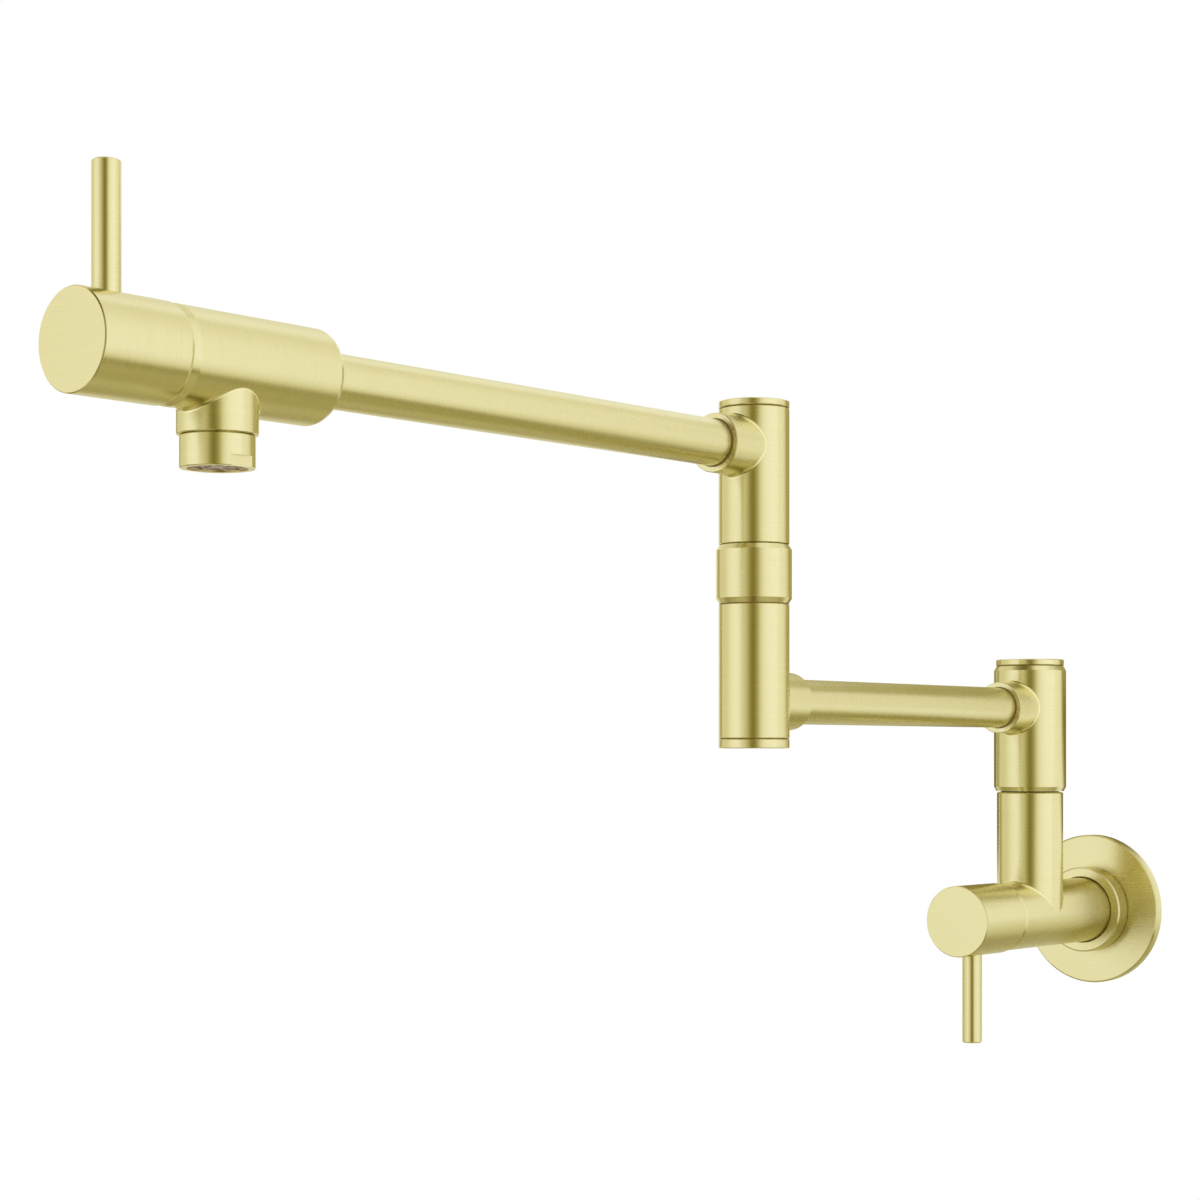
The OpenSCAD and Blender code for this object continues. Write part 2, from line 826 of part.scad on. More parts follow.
module valve_body() {
    color(brushed_gold)
        difference() {
            union() {
                toward_room(0, 0)
                    bar(barrel_r, barrel_length, [0, 0], [barrel_bevel, barrel_bevel_l]);
                on_inner_column()
                    bar(riser_r, riser_top, [0, 0], [riser_bevel, riser_bevel]);
            }
            toward_room(-overrun, 0) {
                cylinder(d = inlet_d, h = inlet_depth + overrun);
                cylinder(d = waterway_d, h = barrel_length);
            }
            at_lower_valve()
                cartridge_pocket();
            on_inner_column()
                cylinder(d = waterway_d, h = riser_top + overrun);
            on_inner_column(riser_top - inner_post_root)
                cylinder(r = post_r + seat_fit, h = inner_post_root + overrun);
        }
}

module lower_cartridge_housing() {
    color(raw_brass)
        at_lower_valve()
            cartridge_housing();
}

module lower_fibre_washer() {
    color(foam_grey)
        at_lower_valve()
            fibre_washer();
}

module lower_seat_seal() {
    color(rubber_black)
        at_lower_valve()
            seat_seal();
}

module lower_fixed_disc() {
    color(ceramic_white)
        at_lower_valve()
            fixed_disc();
}

module lower_moving_disc() {
    color(ceramic_white)
        at_lower_valve()
            moving_disc();
}

module lower_spindle() {
    color(raw_brass)
        at_lower_valve()
            spindle();
}

module lower_spindle_ring() {
    color(rubber_black)
        at_lower_valve()
            spindle_ring();
}

module lower_spindle_clip() {
    color(steel_grey)
        at_lower_valve()
            spindle_clip();
}

module lower_knob() {
    color(brushed_gold)
        at_lower_valve()
            knob(180);
}

module lower_lever() {
    color(brushed_gold)
        at_lower_valve()
            lever(180);
}

module lower_grub_screw() {
    color(steel_grey)
        at_lower_valve()
            grub_screw(180);
}

// Inner swivel column and first arm

module inner_post() {
    color(raw_brass)
        on_inner_column(arm_1_height)
            post(riser_top - inner_post_root - arm_1_height);
}

module inner_bush() {
    color(acetal_white)
        on_inner_column(sleeve_bottom)
            bush(riser_r, inner_gap);
}

module inner_post_rings() {
    color(rubber_black)
        on_inner_column(arm_1_height)
            post_rings();
}

module inner_slip_washer() {
    color(acetal_white)
        on_inner_column(arm_1_height)
            slip_washer();
}

module inner_retainer() {
    color(steel_grey)
        on_inner_column(arm_1_height)
            column_retainer();
}

module inner_sleeve() {
    color(brushed_gold)
        difference() {
            union() {
                on_inner_column(sleeve_bottom)
                    bar(
                        sleeve_r,
                        sleeve_h,
                        [sleeve_bevel, sleeve_bevel_h],
                        [sleeve_bevel, sleeve_bevel_h]
                    );
                toward_room(inner_column_reach, arm_1_height)
                    boss(inner_boss_reach);
            }
            on_inner_column(arm_1_height)
                hub_bores(sleeve_bottom - arm_1_height, sleeve_top - arm_1_height);
            toward_room(inner_column_reach, arm_1_height)
                tube_socket(inner_boss_reach, inner_boss_reach - socket_depth - post_r);
        }
}

module inner_cap() {
    color(brushed_gold)
        on_inner_column(sleeve_top)
            cap(inner_cap_r, inner_cap_t);
}

module arm_1_tube() {
    color(brushed_gold)
        tube(
            inner_column_reach + inner_boss_reach - socket_depth,
            outer_column_reach - lower_boss_reach + socket_depth,
            arm_1_height
        );
}

module arm_1_tube_rings() {
    color(rubber_black) {
        toward_room(inner_column_reach + inner_boss_reach - socket_depth / 2, arm_1_height)
            tube_ring();
        toward_room(outer_column_reach - lower_boss_reach + socket_depth / 2, arm_1_height)
            tube_ring();
    }
}

// Outer swivel column

module outer_lower_body() {
    body_h = lower_body_top - lower_body_bottom;
    post_bore_bottom = lower_body_top - outer_post_root;
    color(brushed_gold)
        difference() {
            union() {
                on_outer_column(lower_body_bottom)
                    bar(column_r, body_h, [seam_bevel, seam_bevel], [seam_bevel, seam_bevel]);
                on_outer_column(arm_1_height)
                    rotate([-90, 0, 0])
                        boss(lower_boss_reach);
            }
            on_outer_column(lower_body_bottom - overrun)
                cylinder(r = chamber_r, h = post_bore_bottom - lower_body_bottom + overrun - land_h);
            on_outer_column(lower_body_bottom)
                cylinder(d = waterway_d, h = body_h);
            on_outer_column(post_bore_bottom)
                cylinder(r = post_r + seat_fit, h = outer_post_root + overrun);
            on_outer_column(arm_1_height)
                rotate([-90, 0, 0])
                    tube_socket(lower_boss_reach, lower_boss_reach - socket_depth - post_r);
        }
}

module outer_bottom_cap() {
    color(brushed_gold)
        on_outer_column(lower_body_bottom)
            mirror([0, 0, 1])
                cap(column_r, bottom_cap_t);
}

module outer_collar() {
    bevel = collar_step + seam_bevel;
    relief_r = (post_r + collar_r) / 2;
    color(brushed_gold)
        on_outer_column(lower_body_top)
            difference() {
                necked_bar(
                    collar_r,
                    column_r - groove_depth,
                    collar_h,
                    [bevel, collar_bevel_h],
                    [bevel, collar_bevel_h]
                );
                translate([0, 0, -overrun])
                    cylinder(r = post_r + seat_fit, h = collar_h + 2 * overrun);
                translate([0, 0, -overrun])
                    cylinder(r = relief_r, h = collar_h / 2 + overrun);
            }
}

module outer_post() {
    color(raw_brass)
        on_outer_column(arm_2_height)
            post(lower_body_top - outer_post_root - arm_2_height);
}

module outer_bush() {
    color(acetal_white)
        on_outer_column(upper_body_bottom)
            bush(column_r, outer_gap);
}

module outer_post_rings() {
    color(rubber_black)
        on_outer_column(arm_2_height)
            post_rings();
}

module outer_slip_washer() {
    color(acetal_white)
        on_outer_column(arm_2_height)
            slip_washer();
}

module outer_retainer() {
    color(steel_grey)
        on_outer_column(arm_2_height)
            column_retainer();
}

module outer_upper_body() {
    body_h = upper_body_top - upper_body_bottom;
    color(brushed_gold)
        difference() {
            union() {
                on_outer_column(upper_body_bottom)
                    bar(column_r, body_h, [seam_bevel, seam_bevel], [seam_bevel, seam_bevel]);
                toward_room(outer_column_reach, arm_2_height)
                    boss(upper_boss_reach);
            }
            on_outer_column(arm_2_height)
                hub_bores(upper_body_bottom - arm_2_height, upper_body_top - arm_2_height);
            toward_room(outer_column_reach, arm_2_height)
                tube_socket(upper_boss_reach, upper_boss_reach - socket_depth - post_r);
        }
}

module outer_top_cap() {
    color(brushed_gold)
        on_outer_column(upper_body_top)
            cap(column_r, top_cap_t);
}

module arm_2_tube() {
    color(brushed_gold)
        tube(
            outer_column_reach + upper_boss_reach - socket_depth,
            head_back_reach + socket_depth,
            arm_2_height
        );
}

module arm_2_tube_rings() {
    color(rubber_black) {
        toward_room(outer_column_reach + upper_boss_reach - socket_depth / 2, arm_2_height)
            tube_ring();
        toward_room(head_back_reach + socket_depth / 2, arm_2_height)
            tube_ring();
    }
}

// Head, upper valve and aerator

module head_body() {
    head_length = head_back + head_front;
    color(brushed_gold)
        difference() {
            union() {
                toward_room(head_back_reach, arm_2_height)
                    bar(
                        head_r,
                        head_length,
                        [head_bevel, head_bevel_l],
                        [head_front_bevel, head_front_bevel_l]
                    );
                on_spout(arm_2_height)
                    mirror([0, 0, 1])
                        bar(spout_r, spout_drop, [0, 0], [seam_bevel, seam_bevel]);
            }
            toward_room(head_back_reach, arm_2_height) {
                translate([0, 0, -overrun])
                    cylinder(r = tube_r + seat_fit, h = socket_depth + overrun);
                translate([0, 0, socket_depth / 2])
                    tube_ring_groove();
                cylinder(d = waterway_d, h = head_length - pocket_depth + overrun);
            }
            at_upper_valve()
                cartridge_pocket();
            on_spout(spout_end)
                cylinder(d = spout_bore_d, h = spout_drop);
            on_spout(spout_end - overrun)
                cylinder(
                    r = aerator_thread_d / 2 + seat_fit,
                    h = aerator_thread_length + aerator_washer_t + overrun - aerator_gap
                );
        }
}

module upper_cartridge_housing() {
    color(raw_brass)
        at_upper_valve()
            cartridge_housing();
}

module upper_fibre_washer() {
    color(foam_grey)
        at_upper_valve()
            fibre_washer();
}

module upper_seat_seal() {
    color(rubber_black)
        at_upper_valve()
            seat_seal();
}

module upper_fixed_disc() {
    color(ceramic_white)
        at_upper_valve()
            fixed_disc();
}

module upper_moving_disc() {
    color(ceramic_white)
        at_upper_valve()
            moving_disc();
}

module upper_spindle() {
    color(raw_brass)
        at_upper_valve()
            spindle();
}

module upper_spindle_ring() {
    color(rubber_black)
        at_upper_valve()
            spindle_ring();
}

module upper_spindle_clip() {
    color(steel_grey)
        at_upper_valve()
            spindle_clip();
}

module upper_knob() {
    color(brushed_gold)
        at_upper_valve()
            knob(0);
}

module upper_lever() {
    color(brushed_gold)
        at_upper_valve()
            lever(0);
}

module upper_grub_screw() {
    color(steel_grey)
        at_upper_valve()
            grub_screw(0);
}

module aerator_shell() {
    color(brushed_gold)
        on_spout(shell_bottom)
            difference() {
                union() {
                    bar(aerator_r, aerator_h, [seam_bevel, seam_bevel], [seam_bevel, seam_bevel]);
                    cylinder(d = aerator_thread_d, h = aerator_h + aerator_thread_length);
                }
                translate([0, 0, -overrun])
                    cylinder(r = aerator_bore_r, h = aerator_h + aerator_thread_length + 2 * overrun);
                translate([0, 0, -overrun])
                    cylinder(r = aerator_mouth_r, h = aerator_mouth_h + overrun);
                for (side = [-1, 1])
                    translate([side * (2 * aerator_r - flat_depth), 0, flats_h / 2 - overrun])
                        cube([2 * aerator_r, 2 * aerator_r, flats_h + 2 * overrun], center = true);
            }
}

module aerator_insert() {
    rim_r = aerator_mouth_r - seat_fit;
    core_r = aerator_bore_r - seat_fit;
    slot_shares = [0.28, 0.55, 0.62, 0.88];
    color(insert_pink)
        on_spout(shell_bottom + aerator_mouth_h - insert_rim_t)
            difference() {
                union() {
                    cylinder(r = rim_r, h = insert_rim_t - seat_fit);
                    cylinder(r = core_r, h = insert_rim_t + insert_h);
                }
                translate([0, 0, -overrun])
                    linear_extrude(insert_rim_t + insert_h + 2 * overrun)
                        difference() {
                            union() {
                                ring_2d(core_r * slot_shares[1], core_r * slot_shares[0]);
                                ring_2d(core_r * slot_shares[3], core_r * slot_shares[2]);
                            }
                            for (turn = [0:60:120])
                                rotate(turn)
                                    square([2 * core_r, insert_rib], center = true);
                        }
                translate([0, 0, -overrun])
                    linear_extrude(insert_rim_t / 2 + overrun)
                        for (i = [0:insert_notches - 1])
                            rotate(360 * i / insert_notches)
                                translate([(core_r + rim_r) / 2, 0])
                                    square([rim_r - core_r + notch_w, notch_w], center = true);
            }
}

module ring_2d(outer_r, inner_r) {
    difference() {
        circle(r = outer_r);
        circle(r = inner_r);
    }
}

module aerator_screen() {
    screen_r = aerator_bore_r - seat_fit;
    rows = 2;
    color(steel_grey)
        on_spout(shell_bottom + aerator_mouth_h + insert_h)
            linear_extrude(screen_t)
                difference() {
                    circle(r = screen_r);
                    for (row = [-rows:rows], i = [0:2 * rows - abs(row)])
                        translate([
                            (i - rows + abs(row) / 2) * screen_pitch,
                            row * screen_pitch * sin(60)
                        ])
                            circle(d = screen_hole_d, $fn = 24);
                }
}

module aerator_washer() {
    color(rubber_black)
        on_spout(shell_top + aerator_thread_length)
            ring(aerator_thread_d / 2, spout_bore_d / 2, aerator_washer_t);
}

wall_flange();
wall_gasket();
flange_hub();
flange_grip_ring();
valve_body();
lower_cartridge_housing();
lower_fibre_washer();
lower_seat_seal();
lower_fixed_disc();
lower_moving_disc();
lower_spindle();
lower_spindle_ring();
lower_spindle_clip();
lower_knob();
lower_lever();
lower_grub_screw();
inner_post();
inner_bush();
inner_post_rings();
inner_slip_washer();
inner_retainer();
inner_sleeve();
inner_cap();
arm_1_tube();
arm_1_tube_rings();
outer_lower_body();
outer_bottom_cap();
outer_collar();
outer_post();
outer_bush();
outer_post_rings();
outer_slip_washer();
outer_retainer();
outer_upper_body();
outer_top_cap();
arm_2_tube();
arm_2_tube_rings();
head_body();
upper_cartridge_housing();
upper_fibre_washer();
upper_seat_seal();
upper_fixed_disc();
upper_moving_disc();
upper_spindle();
upper_spindle_ring();
upper_spindle_clip();
upper_knob();
upper_lever();
upper_grub_screw();
aerator_shell();
aerator_insert();
aerator_screen();
aerator_washer();
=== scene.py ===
"""The looks of a wall mounted pot filler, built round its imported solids."""

import json
import math

import bpy
from bpy.props import FloatProperty, FloatVectorProperty, IntProperty, PointerProperty
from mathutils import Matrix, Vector


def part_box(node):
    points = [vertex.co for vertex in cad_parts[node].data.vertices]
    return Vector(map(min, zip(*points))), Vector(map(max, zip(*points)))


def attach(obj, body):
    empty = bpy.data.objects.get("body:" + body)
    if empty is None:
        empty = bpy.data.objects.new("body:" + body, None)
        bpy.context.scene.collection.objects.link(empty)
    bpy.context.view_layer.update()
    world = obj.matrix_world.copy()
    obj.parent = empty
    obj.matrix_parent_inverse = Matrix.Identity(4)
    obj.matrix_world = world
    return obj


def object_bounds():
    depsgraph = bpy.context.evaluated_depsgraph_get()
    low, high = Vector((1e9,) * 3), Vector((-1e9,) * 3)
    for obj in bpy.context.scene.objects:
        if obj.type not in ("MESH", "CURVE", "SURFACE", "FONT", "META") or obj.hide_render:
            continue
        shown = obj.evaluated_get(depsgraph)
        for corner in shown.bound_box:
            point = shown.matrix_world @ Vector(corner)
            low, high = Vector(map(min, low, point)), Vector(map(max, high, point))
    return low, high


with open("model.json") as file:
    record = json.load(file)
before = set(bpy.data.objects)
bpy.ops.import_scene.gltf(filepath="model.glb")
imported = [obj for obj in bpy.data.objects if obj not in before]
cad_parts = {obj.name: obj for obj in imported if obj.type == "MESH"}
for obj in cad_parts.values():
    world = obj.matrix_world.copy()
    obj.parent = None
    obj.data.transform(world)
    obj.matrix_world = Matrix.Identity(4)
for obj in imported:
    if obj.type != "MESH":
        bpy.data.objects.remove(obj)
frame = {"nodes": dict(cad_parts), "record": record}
CAD_BOX = [list(corner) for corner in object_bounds()]

bl_info = {
    "name": "Wall mounted pot filler",
    "version": (1, 0, 0),
    "blender": (4, 5, 0),
    "location": "3D view, sidebar, Pot filler",
    "description": "Finishes and fine shapes of a double jointed pot filler",
    "category": "Object",
}

MM = 0.001

# The axes: y runs into the wall, which is at 0, and z runs up
X, Y, Z = range(3)
ALONG_X = (1.0, 0.0, 0.0)
ALONG_Y = (0.0, 1.0, 0.0)
ALONG_Z = (0.0, 0.0, 1.0)
# The two corners of a box
LOW, HIGH = 0, 1


def middle(node, axis):
    """Middle of a node's box along one axis."""
    low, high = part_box(node)
    return (low[axis] + high[axis]) / 2


def half(node, axis):
    """Half the size of a node's box along one axis."""
    low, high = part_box(node)
    return (high[axis] - low[axis]) / 2


# Places and sizes that the new pieces take from the solids
INNER_Y = middle("inner_cap", Y)
OUTER_Y = middle("outer_top_cap", Y)
SPOUT_Y = middle("aerator_shell", Y)
ARM_1_Z = middle("arm_1_tube", Z)
ARM_2_Z = middle("arm_2_tube", Z)
BARREL_R = half("valve_body", X)
SLEEVE_R = half("inner_sleeve", X)
COLUMN_R = half("outer_upper_body", X)
HEAD_R = half("head_body", X)
TUBE_R = half("arm_1_tube", X)


class PotFillerShapes(bpy.types.PropertyGroup):
    """Sizes of the fine shapes."""
    fillet: FloatProperty(
        name="Fillet", description="Radius where a boss meets its column",
        default=1.45 * MM, unit="LENGTH")
    boss_wall: FloatProperty(
        name="Boss wall", description="Metal round an arm tube in its boss",
        default=2.7 * MM, unit="LENGTH")
    riser_radius: FloatProperty(
        name="Riser radius", description="Radius of the riser on top of the valve body",
        default=16.6 * MM, unit="LENGTH")
    spout_radius: FloatProperty(
        name="Spout radius", description="Radius of the stub under the head",
        default=13.95 * MM, unit="LENGTH")
    # The joint rings and beads are dark rings of painted shade: they stand for the shadow in the seams and at
    # the bosses' mouths
    ring_height: FloatProperty(
        name="Joint ring height", description="Height of the rings in the grooves of the seams",
        default=0.44 * MM, unit="LENGTH")
    ring_margin: FloatProperty(
        name="Joint ring margin", description="Distance from such a ring to the piece that it stands on",
        default=0.03 * MM, unit="LENGTH")
    ring_depth: FloatProperty(
        name="Joint ring depth", description="Distance of such a ring under the metal's side",
        default=0.3 * MM, unit="LENGTH")
    ring_wall: FloatProperty(
        name="Joint ring wall", description="Thickness of such a ring across",
        default=0.7 * MM, unit="LENGTH")
    bead: FloatProperty(
        name="Bead", description="How far the bead round a tube stands out at a boss's mouth",
        default=0.4 * MM, unit="LENGTH")
    bead_seat: FloatProperty(
        name="Bead seat", description="How deep that bead starts inside the mouth",
        default=0.03 * MM, unit="LENGTH")
    bead_gap: FloatProperty(
        name="Bead gap", description="Distance between that bead and its tube",
        default=0.02 * MM, unit="LENGTH")
    thread_pitch: FloatProperty(
        name="Thread pitch", description="Distance between the turns of the inlet's thread",
        default=1.814 * MM, unit="LENGTH")
    thread_height: FloatProperty(
        name="Thread height", description="Height of the inlet's thread",
        default=0.6 * MM, unit="LENGTH")
    thread_turns: IntProperty(
        name="Thread turns", description="Number of turns of the inlet's thread", default=7)


class PotFillerFinishes(bpy.types.PropertyGroup):
    """Colours and surfaces."""
    gold: FloatVectorProperty(
        name="Brushed gold", description="Colour of the visible metal",
        default=(0.92, 0.862, 0.50), subtype="COLOR")
    gold_roughness: FloatProperty(
        name="Gold roughness", description="Roughness of the brushed gold", default=0.27)
    grain: FloatProperty(
        name="Grain", description="How far a highlight is drawn out across the brush lines",
        default=0.8)
    brass: FloatVectorProperty(
        name="Raw brass", description="Colour of the brass inside",
        default=(0.80, 0.60, 0.28), subtype="COLOR")
    steel: FloatVectorProperty(
        name="Steel", description="Colour of the clips and screws",
        default=(0.62, 0.62, 0.63), subtype="COLOR")
    ceramic: FloatVectorProperty(
        name="Ceramic", description="Colour of the valve discs",
        default=(0.84, 0.82, 0.76), subtype="COLOR")
    rubber: FloatVectorProperty(
        name="Rubber", description="Colour of the sealing rings",
        default=(0.022, 0.022, 0.022), subtype="COLOR")
    # Painted shade: this dark colour on the rings stands for the shadow in the seams' grooves and at the
    # bosses' mouths
    joint_ring: FloatVectorProperty(
        name="Joint ring", description="Colour of the rings in the grooves of the seams",
        default=(0.21, 0.135, 0.025), subtype="COLOR")
    foam: FloatVectorProperty(
        name="Foam", description="Colour of the gasket on the wall",
        default=(0.09, 0.09, 0.095), subtype="COLOR")
    fibre: FloatVectorProperty(
        name="Fibre", description="Colour of the fibre washers",
        default=(0.30, 0.12, 0.08), subtype="COLOR")
    acetal: FloatVectorProperty(
        name="Acetal", description="Colour of the bearing bushes",
        default=(0.055, 0.045, 0.035), subtype="COLOR")
    aerator: FloatVectorProperty(
        name="Aerator plastic", description="Colour of the aerator's insert",
        default=(0.42, 0.31, 0.20), subtype="COLOR")


class PotFillerStage(bpy.types.PropertyGroup):
    """Camera, floor and light."""
    camera_place: FloatVectorProperty(
        name="Camera place", description="Place of the camera",
        default=(0.6306, -1.1581, 0.0819), subtype="TRANSLATION", unit="LENGTH")
    camera_turn: FloatProperty(
        name="Camera turn", description="Turn of the camera about the vertical",
        default=math.radians(40.055), subtype="ANGLE")
    lens: FloatProperty(
        name="Lens", description="Focal length in millimetres", default=73.02)
    shift: FloatProperty(
        name="Shift", description="Rise of the view in the frame", default=0.1282)
    floor_height: FloatProperty(
        name="Floor height", description="Height of the floor, where the inlet is at 0",
        default=-0.75, unit="LENGTH")
    floor_radius: FloatProperty(
        name="Floor radius", description="Radius of the floor", default=2.2, unit="LENGTH")
    surround_radius: FloatProperty(
        name="Surround radius", description="Distance of what the metal reflects",
        default=2.5, unit="LENGTH")
    room_light: FloatProperty(
        name="Room light", description="Strength of the even light of the room", default=0.82)
    lamp_power: FloatProperty(
        name="Lamp power", description="Power of the soft lamp overhead", default=14.0, unit="POWER")
    lamp_size: FloatProperty(
        name="Lamp size", description="Width of the lamp", default=1.6, unit="LENGTH")
    lamp_height: FloatProperty(
        name="Lamp height", description="Height of the lamp over the object's middle",
        default=2.0, unit="LENGTH")


# The range that a noise seldom leaves
NOISE_LOW, NOISE_HIGH = 0.25, 0.75
# For each kind of data in a mix node: the numbers of its two inputs and of its output
MIX_SOCKETS = {"VECTOR": (4, 5, 1), "RGBA": (6, 7, 2)}


class Finish:
    """A material's node tree, with a short call for each kind of node that the finishes need."""

    def __init__(self, name):
        self.material = bpy.data.materials.new(name)
        self.material.use_nodes = True
        self.nodes = self.material.node_tree.nodes
        self.links = self.material.node_tree.links
        self.shader = self.nodes["Principled BSDF"]
        self.place = self.add("ShaderNodeTexCoord").outputs["Object"]

    def feed(self, socket, value):
        """Links a socket to an output, or sets it to a number or a vector."""
        if isinstance(value, bpy.types.NodeSocket):
            self.links.new(value, socket)
        elif value is not None:
            socket.default_value = value

    def add(self, kind, inputs=None, **settings):
        """Adds a node with its settings, and feeds its inputs by their names or numbers."""
        node = self.nodes.new(kind)
        for setting, value in settings.items():
            setattr(node, setting, value)
        for socket, value in (inputs or {}).items():
            self.feed(node.inputs[socket], value)
        return node

    def set(self, **values):
        """Sets or links sockets of the surface shader."""
        for name, value in values.items():
            self.feed(self.shader.inputs[name.replace("_", " ")], value)

    def math(self, operation, first, second=None):
        """A sum with one or two numbers."""
        return self.add("ShaderNodeMath", {0: first, 1: second}, operation=operation).outputs[0]

    def vector(self, operation, first, second=None, third=None):
        """A sum with vectors, which gives a number for a length or a dot product."""
        node = self.add("ShaderNodeVectorMath", {0: first, 1: second, 2: third}, operation=operation)
        return node.outputs["Value" if operation in ("LENGTH", "DOT_PRODUCT") else "Vector"]

    def mix(self, kind, factor, first, second):
        """Two vectors or two colours, mixed by a factor that runs from 0 to 1."""
        start, end, result = MIX_SOCKETS[kind]
        node = self.add("ShaderNodeMix", {"Factor": factor, start: first, end: second}, data_type=kind)
        return node.outputs[result]

    def turned(self, value, kind, source, target):
        """A direction or a normal, carried from one space to another."""
        node = self.add(
            "ShaderNodeVectorTransform", {0: value},
            vector_type=kind, convert_from=source, convert_to=target)
        return node.outputs[0]

    def noise(self, place, scale, detail=2.0, roughness=0.5):
        """A soft noise."""
        inputs = {"Vector": place, "Scale": scale, "Detail": detail, "Roughness": roughness}
        return self.add("ShaderNodeTexNoise", inputs).outputs["Fac"]

    def cells(self, place, scale):
        """Small round cells."""
        return self.add("ShaderNodeTexVoronoi", {"Vector": place, "Scale": scale}).outputs["Distance"]

    def fit(self, value, low, high, start=0.0, end=1.0, soft=False):
        """A number that runs from start to end as a value runs from low to high."""
        node = self.add(
            "ShaderNodeMapRange",
            {"Value": value, "From Min": low, "From Max": high, "To Min": start, "To Max": end},
            interpolation_type="SMOOTHSTEP" if soft else "LINEAR")
        return node.outputs["Result"]

    def swing(self, value, middle, spread):
        """A number that goes as far as spread to either side of middle with a noise."""
        return self.fit(value, NOISE_LOW, NOISE_HIGH, middle - spread, middle + spread)

    def tone(self, colour, value, dark, light):
        """A colour that runs from dark to light times itself with a noise."""
        ends = [[part * share for part in colour] + [1.0] for share in (dark, light)]
        return self.mix("RGBA", self.fit(value, NOISE_LOW, NOISE_HIGH), *ends)

    def bump(self, height, strength, distance):
        """A normal that follows a height."""
        inputs = {"Height": height, "Strength": strength, "Distance": distance}
        return self.add("ShaderNodeBump", inputs).outputs["Normal"]

    def glow(self, colour):
        """A shader of plain light, in place of the surface shader."""
        self.nodes.remove(self.shader)
        return self.add("ShaderNodeEmission", {"Color": colour}).outputs[0]

    def clear(self):
        """A shader that lets everything through."""
        return self.add("ShaderNodeBsdfTransparent").outputs[0]

    def show(self, shader, other=None, share=None):
        """Puts a shader on the material, or a mix in which share belongs to the other."""
        if other is not None:
            shader = self.add("ShaderNodeMixShader", {0: share, 1: shader, 2: other}).outputs[0]
        self.links.new(shader, self.nodes["Material Output"].inputs["Surface"])


# How squarely a face looks along the turning axis, from 0 to 1, before it counts as an end face
END_FACE = 0.9
# How much finer the brushed pattern is along the axis than round it
BRUSH_STRETCH = 40.0
# How much of the lines' tone the fine ones make, and the long ones the rest
FINE_SHARE = 0.6
# How many times larger the clouds on rubber and plastic are than the grain
CLOUD_RATIO = 25.0


def brushed_metal(name, colour, roughness, grain, trunk, face, branch=None, crossing=None, radius=0.0):
    """Metal brushed round its turning axis.

    The lines run round trunk, the axis of the main cylinder, and straight across the end faces,
    square to face. Past radius from the trunk's axis through crossing they run round branch.
    """
    finish = Finish(name)
    axis = trunk
    if branch:
        offset = finish.vector("SUBTRACT", finish.place, crossing)
        across = finish.vector("MULTIPLY", offset, [1.0 - part for part in trunk])
        outside = finish.math("GREATER_THAN", finish.vector("LENGTH", across), radius)
        axis = finish.mix("VECTOR", outside, trunk, branch)
    normal = finish.add("ShaderNodeNewGeometry").outputs["True Normal"]
    normal = finish.turned(normal, "NORMAL", "WORLD", "OBJECT")
    facing = finish.math("ABSOLUTE", finish.vector("DOT_PRODUCT", normal, axis))
    axis = finish.mix("VECTOR", finish.math("GREATER_THAN", facing, END_FACE), axis, face)
    # Short fine lines, long fine lines and broad soft streaks
    stretch = finish.vector("MULTIPLY_ADD", axis, [BRUSH_STRETCH] * 3, (1.0, 1.0, 1.0))
    drawn = finish.vector("MULTIPLY", finish.place, stretch)
    fine = finish.noise(drawn, scale=75.0, detail=3.0, roughness=0.65)
    long_lines = finish.noise(drawn, scale=22.0, detail=2.0, roughness=0.6)
    clouds = finish.noise(finish.place, scale=45.0, detail=2.0)
    lines = finish.math(
        "ADD", finish.math("MULTIPLY", fine, FINE_SHARE),
        finish.math("MULTIPLY", long_lines, 1 - FINE_SHARE))
    finish.set(
        Base_Color=finish.tone(colour, lines, dark=0.945, light=1.04),
        Metallic=1.0,
        Roughness=finish.math(
            "ADD", finish.swing(lines, middle=roughness, spread=0.025),
            finish.swing(clouds, middle=0.0, spread=0.01)),
        Anisotropic=grain,
        Tangent=finish.turned(axis, "VECTOR", "OBJECT", "WORLD"),
        Normal=finish.bump(fine, strength=0.05, distance=0.035 * MM),
    )


def plain_metal(name, colour, roughness):
    """Metal with no direction in it, for fillets, clips and screws."""
    finish = Finish(name)
    grain = finish.noise(finish.place, scale=1800.0, detail=3.0, roughness=0.6)
    clouds = finish.noise(finish.place, scale=60.0)
    finish.set(
        Base_Color=finish.tone(colour, grain, dark=0.95, light=1.03),
        Metallic=1.0,
        Roughness=finish.math(
            "ADD", finish.swing(grain, middle=roughness, spread=0.03),
            finish.swing(clouds, middle=0.0, spread=0.02)),
        Normal=finish.bump(grain, strength=0.1, distance=0.02 * MM),
    )


def soft_stuff(name, colour, roughness, scale, depth, cells=False):
    """Rubber, foam, fibre, plastic and ceramic, each with its own size and depth of grain."""
    finish = Finish(name)
    if cells:
        grain = finish.cells(finish.place, scale)
    else:
        grain = finish.noise(finish.place, scale, detail=3.0, roughness=0.6)
    clouds = finish.noise(finish.place, scale / CLOUD_RATIO, detail=2.0)
    finish.set(
        Base_Color=finish.tone(colour, clouds, dark=0.88, light=1.08),
        Roughness=finish.swing(grain, middle=roughness, spread=0.06),
        Normal=finish.bump(grain, strength=0.35, distance=depth),
    )


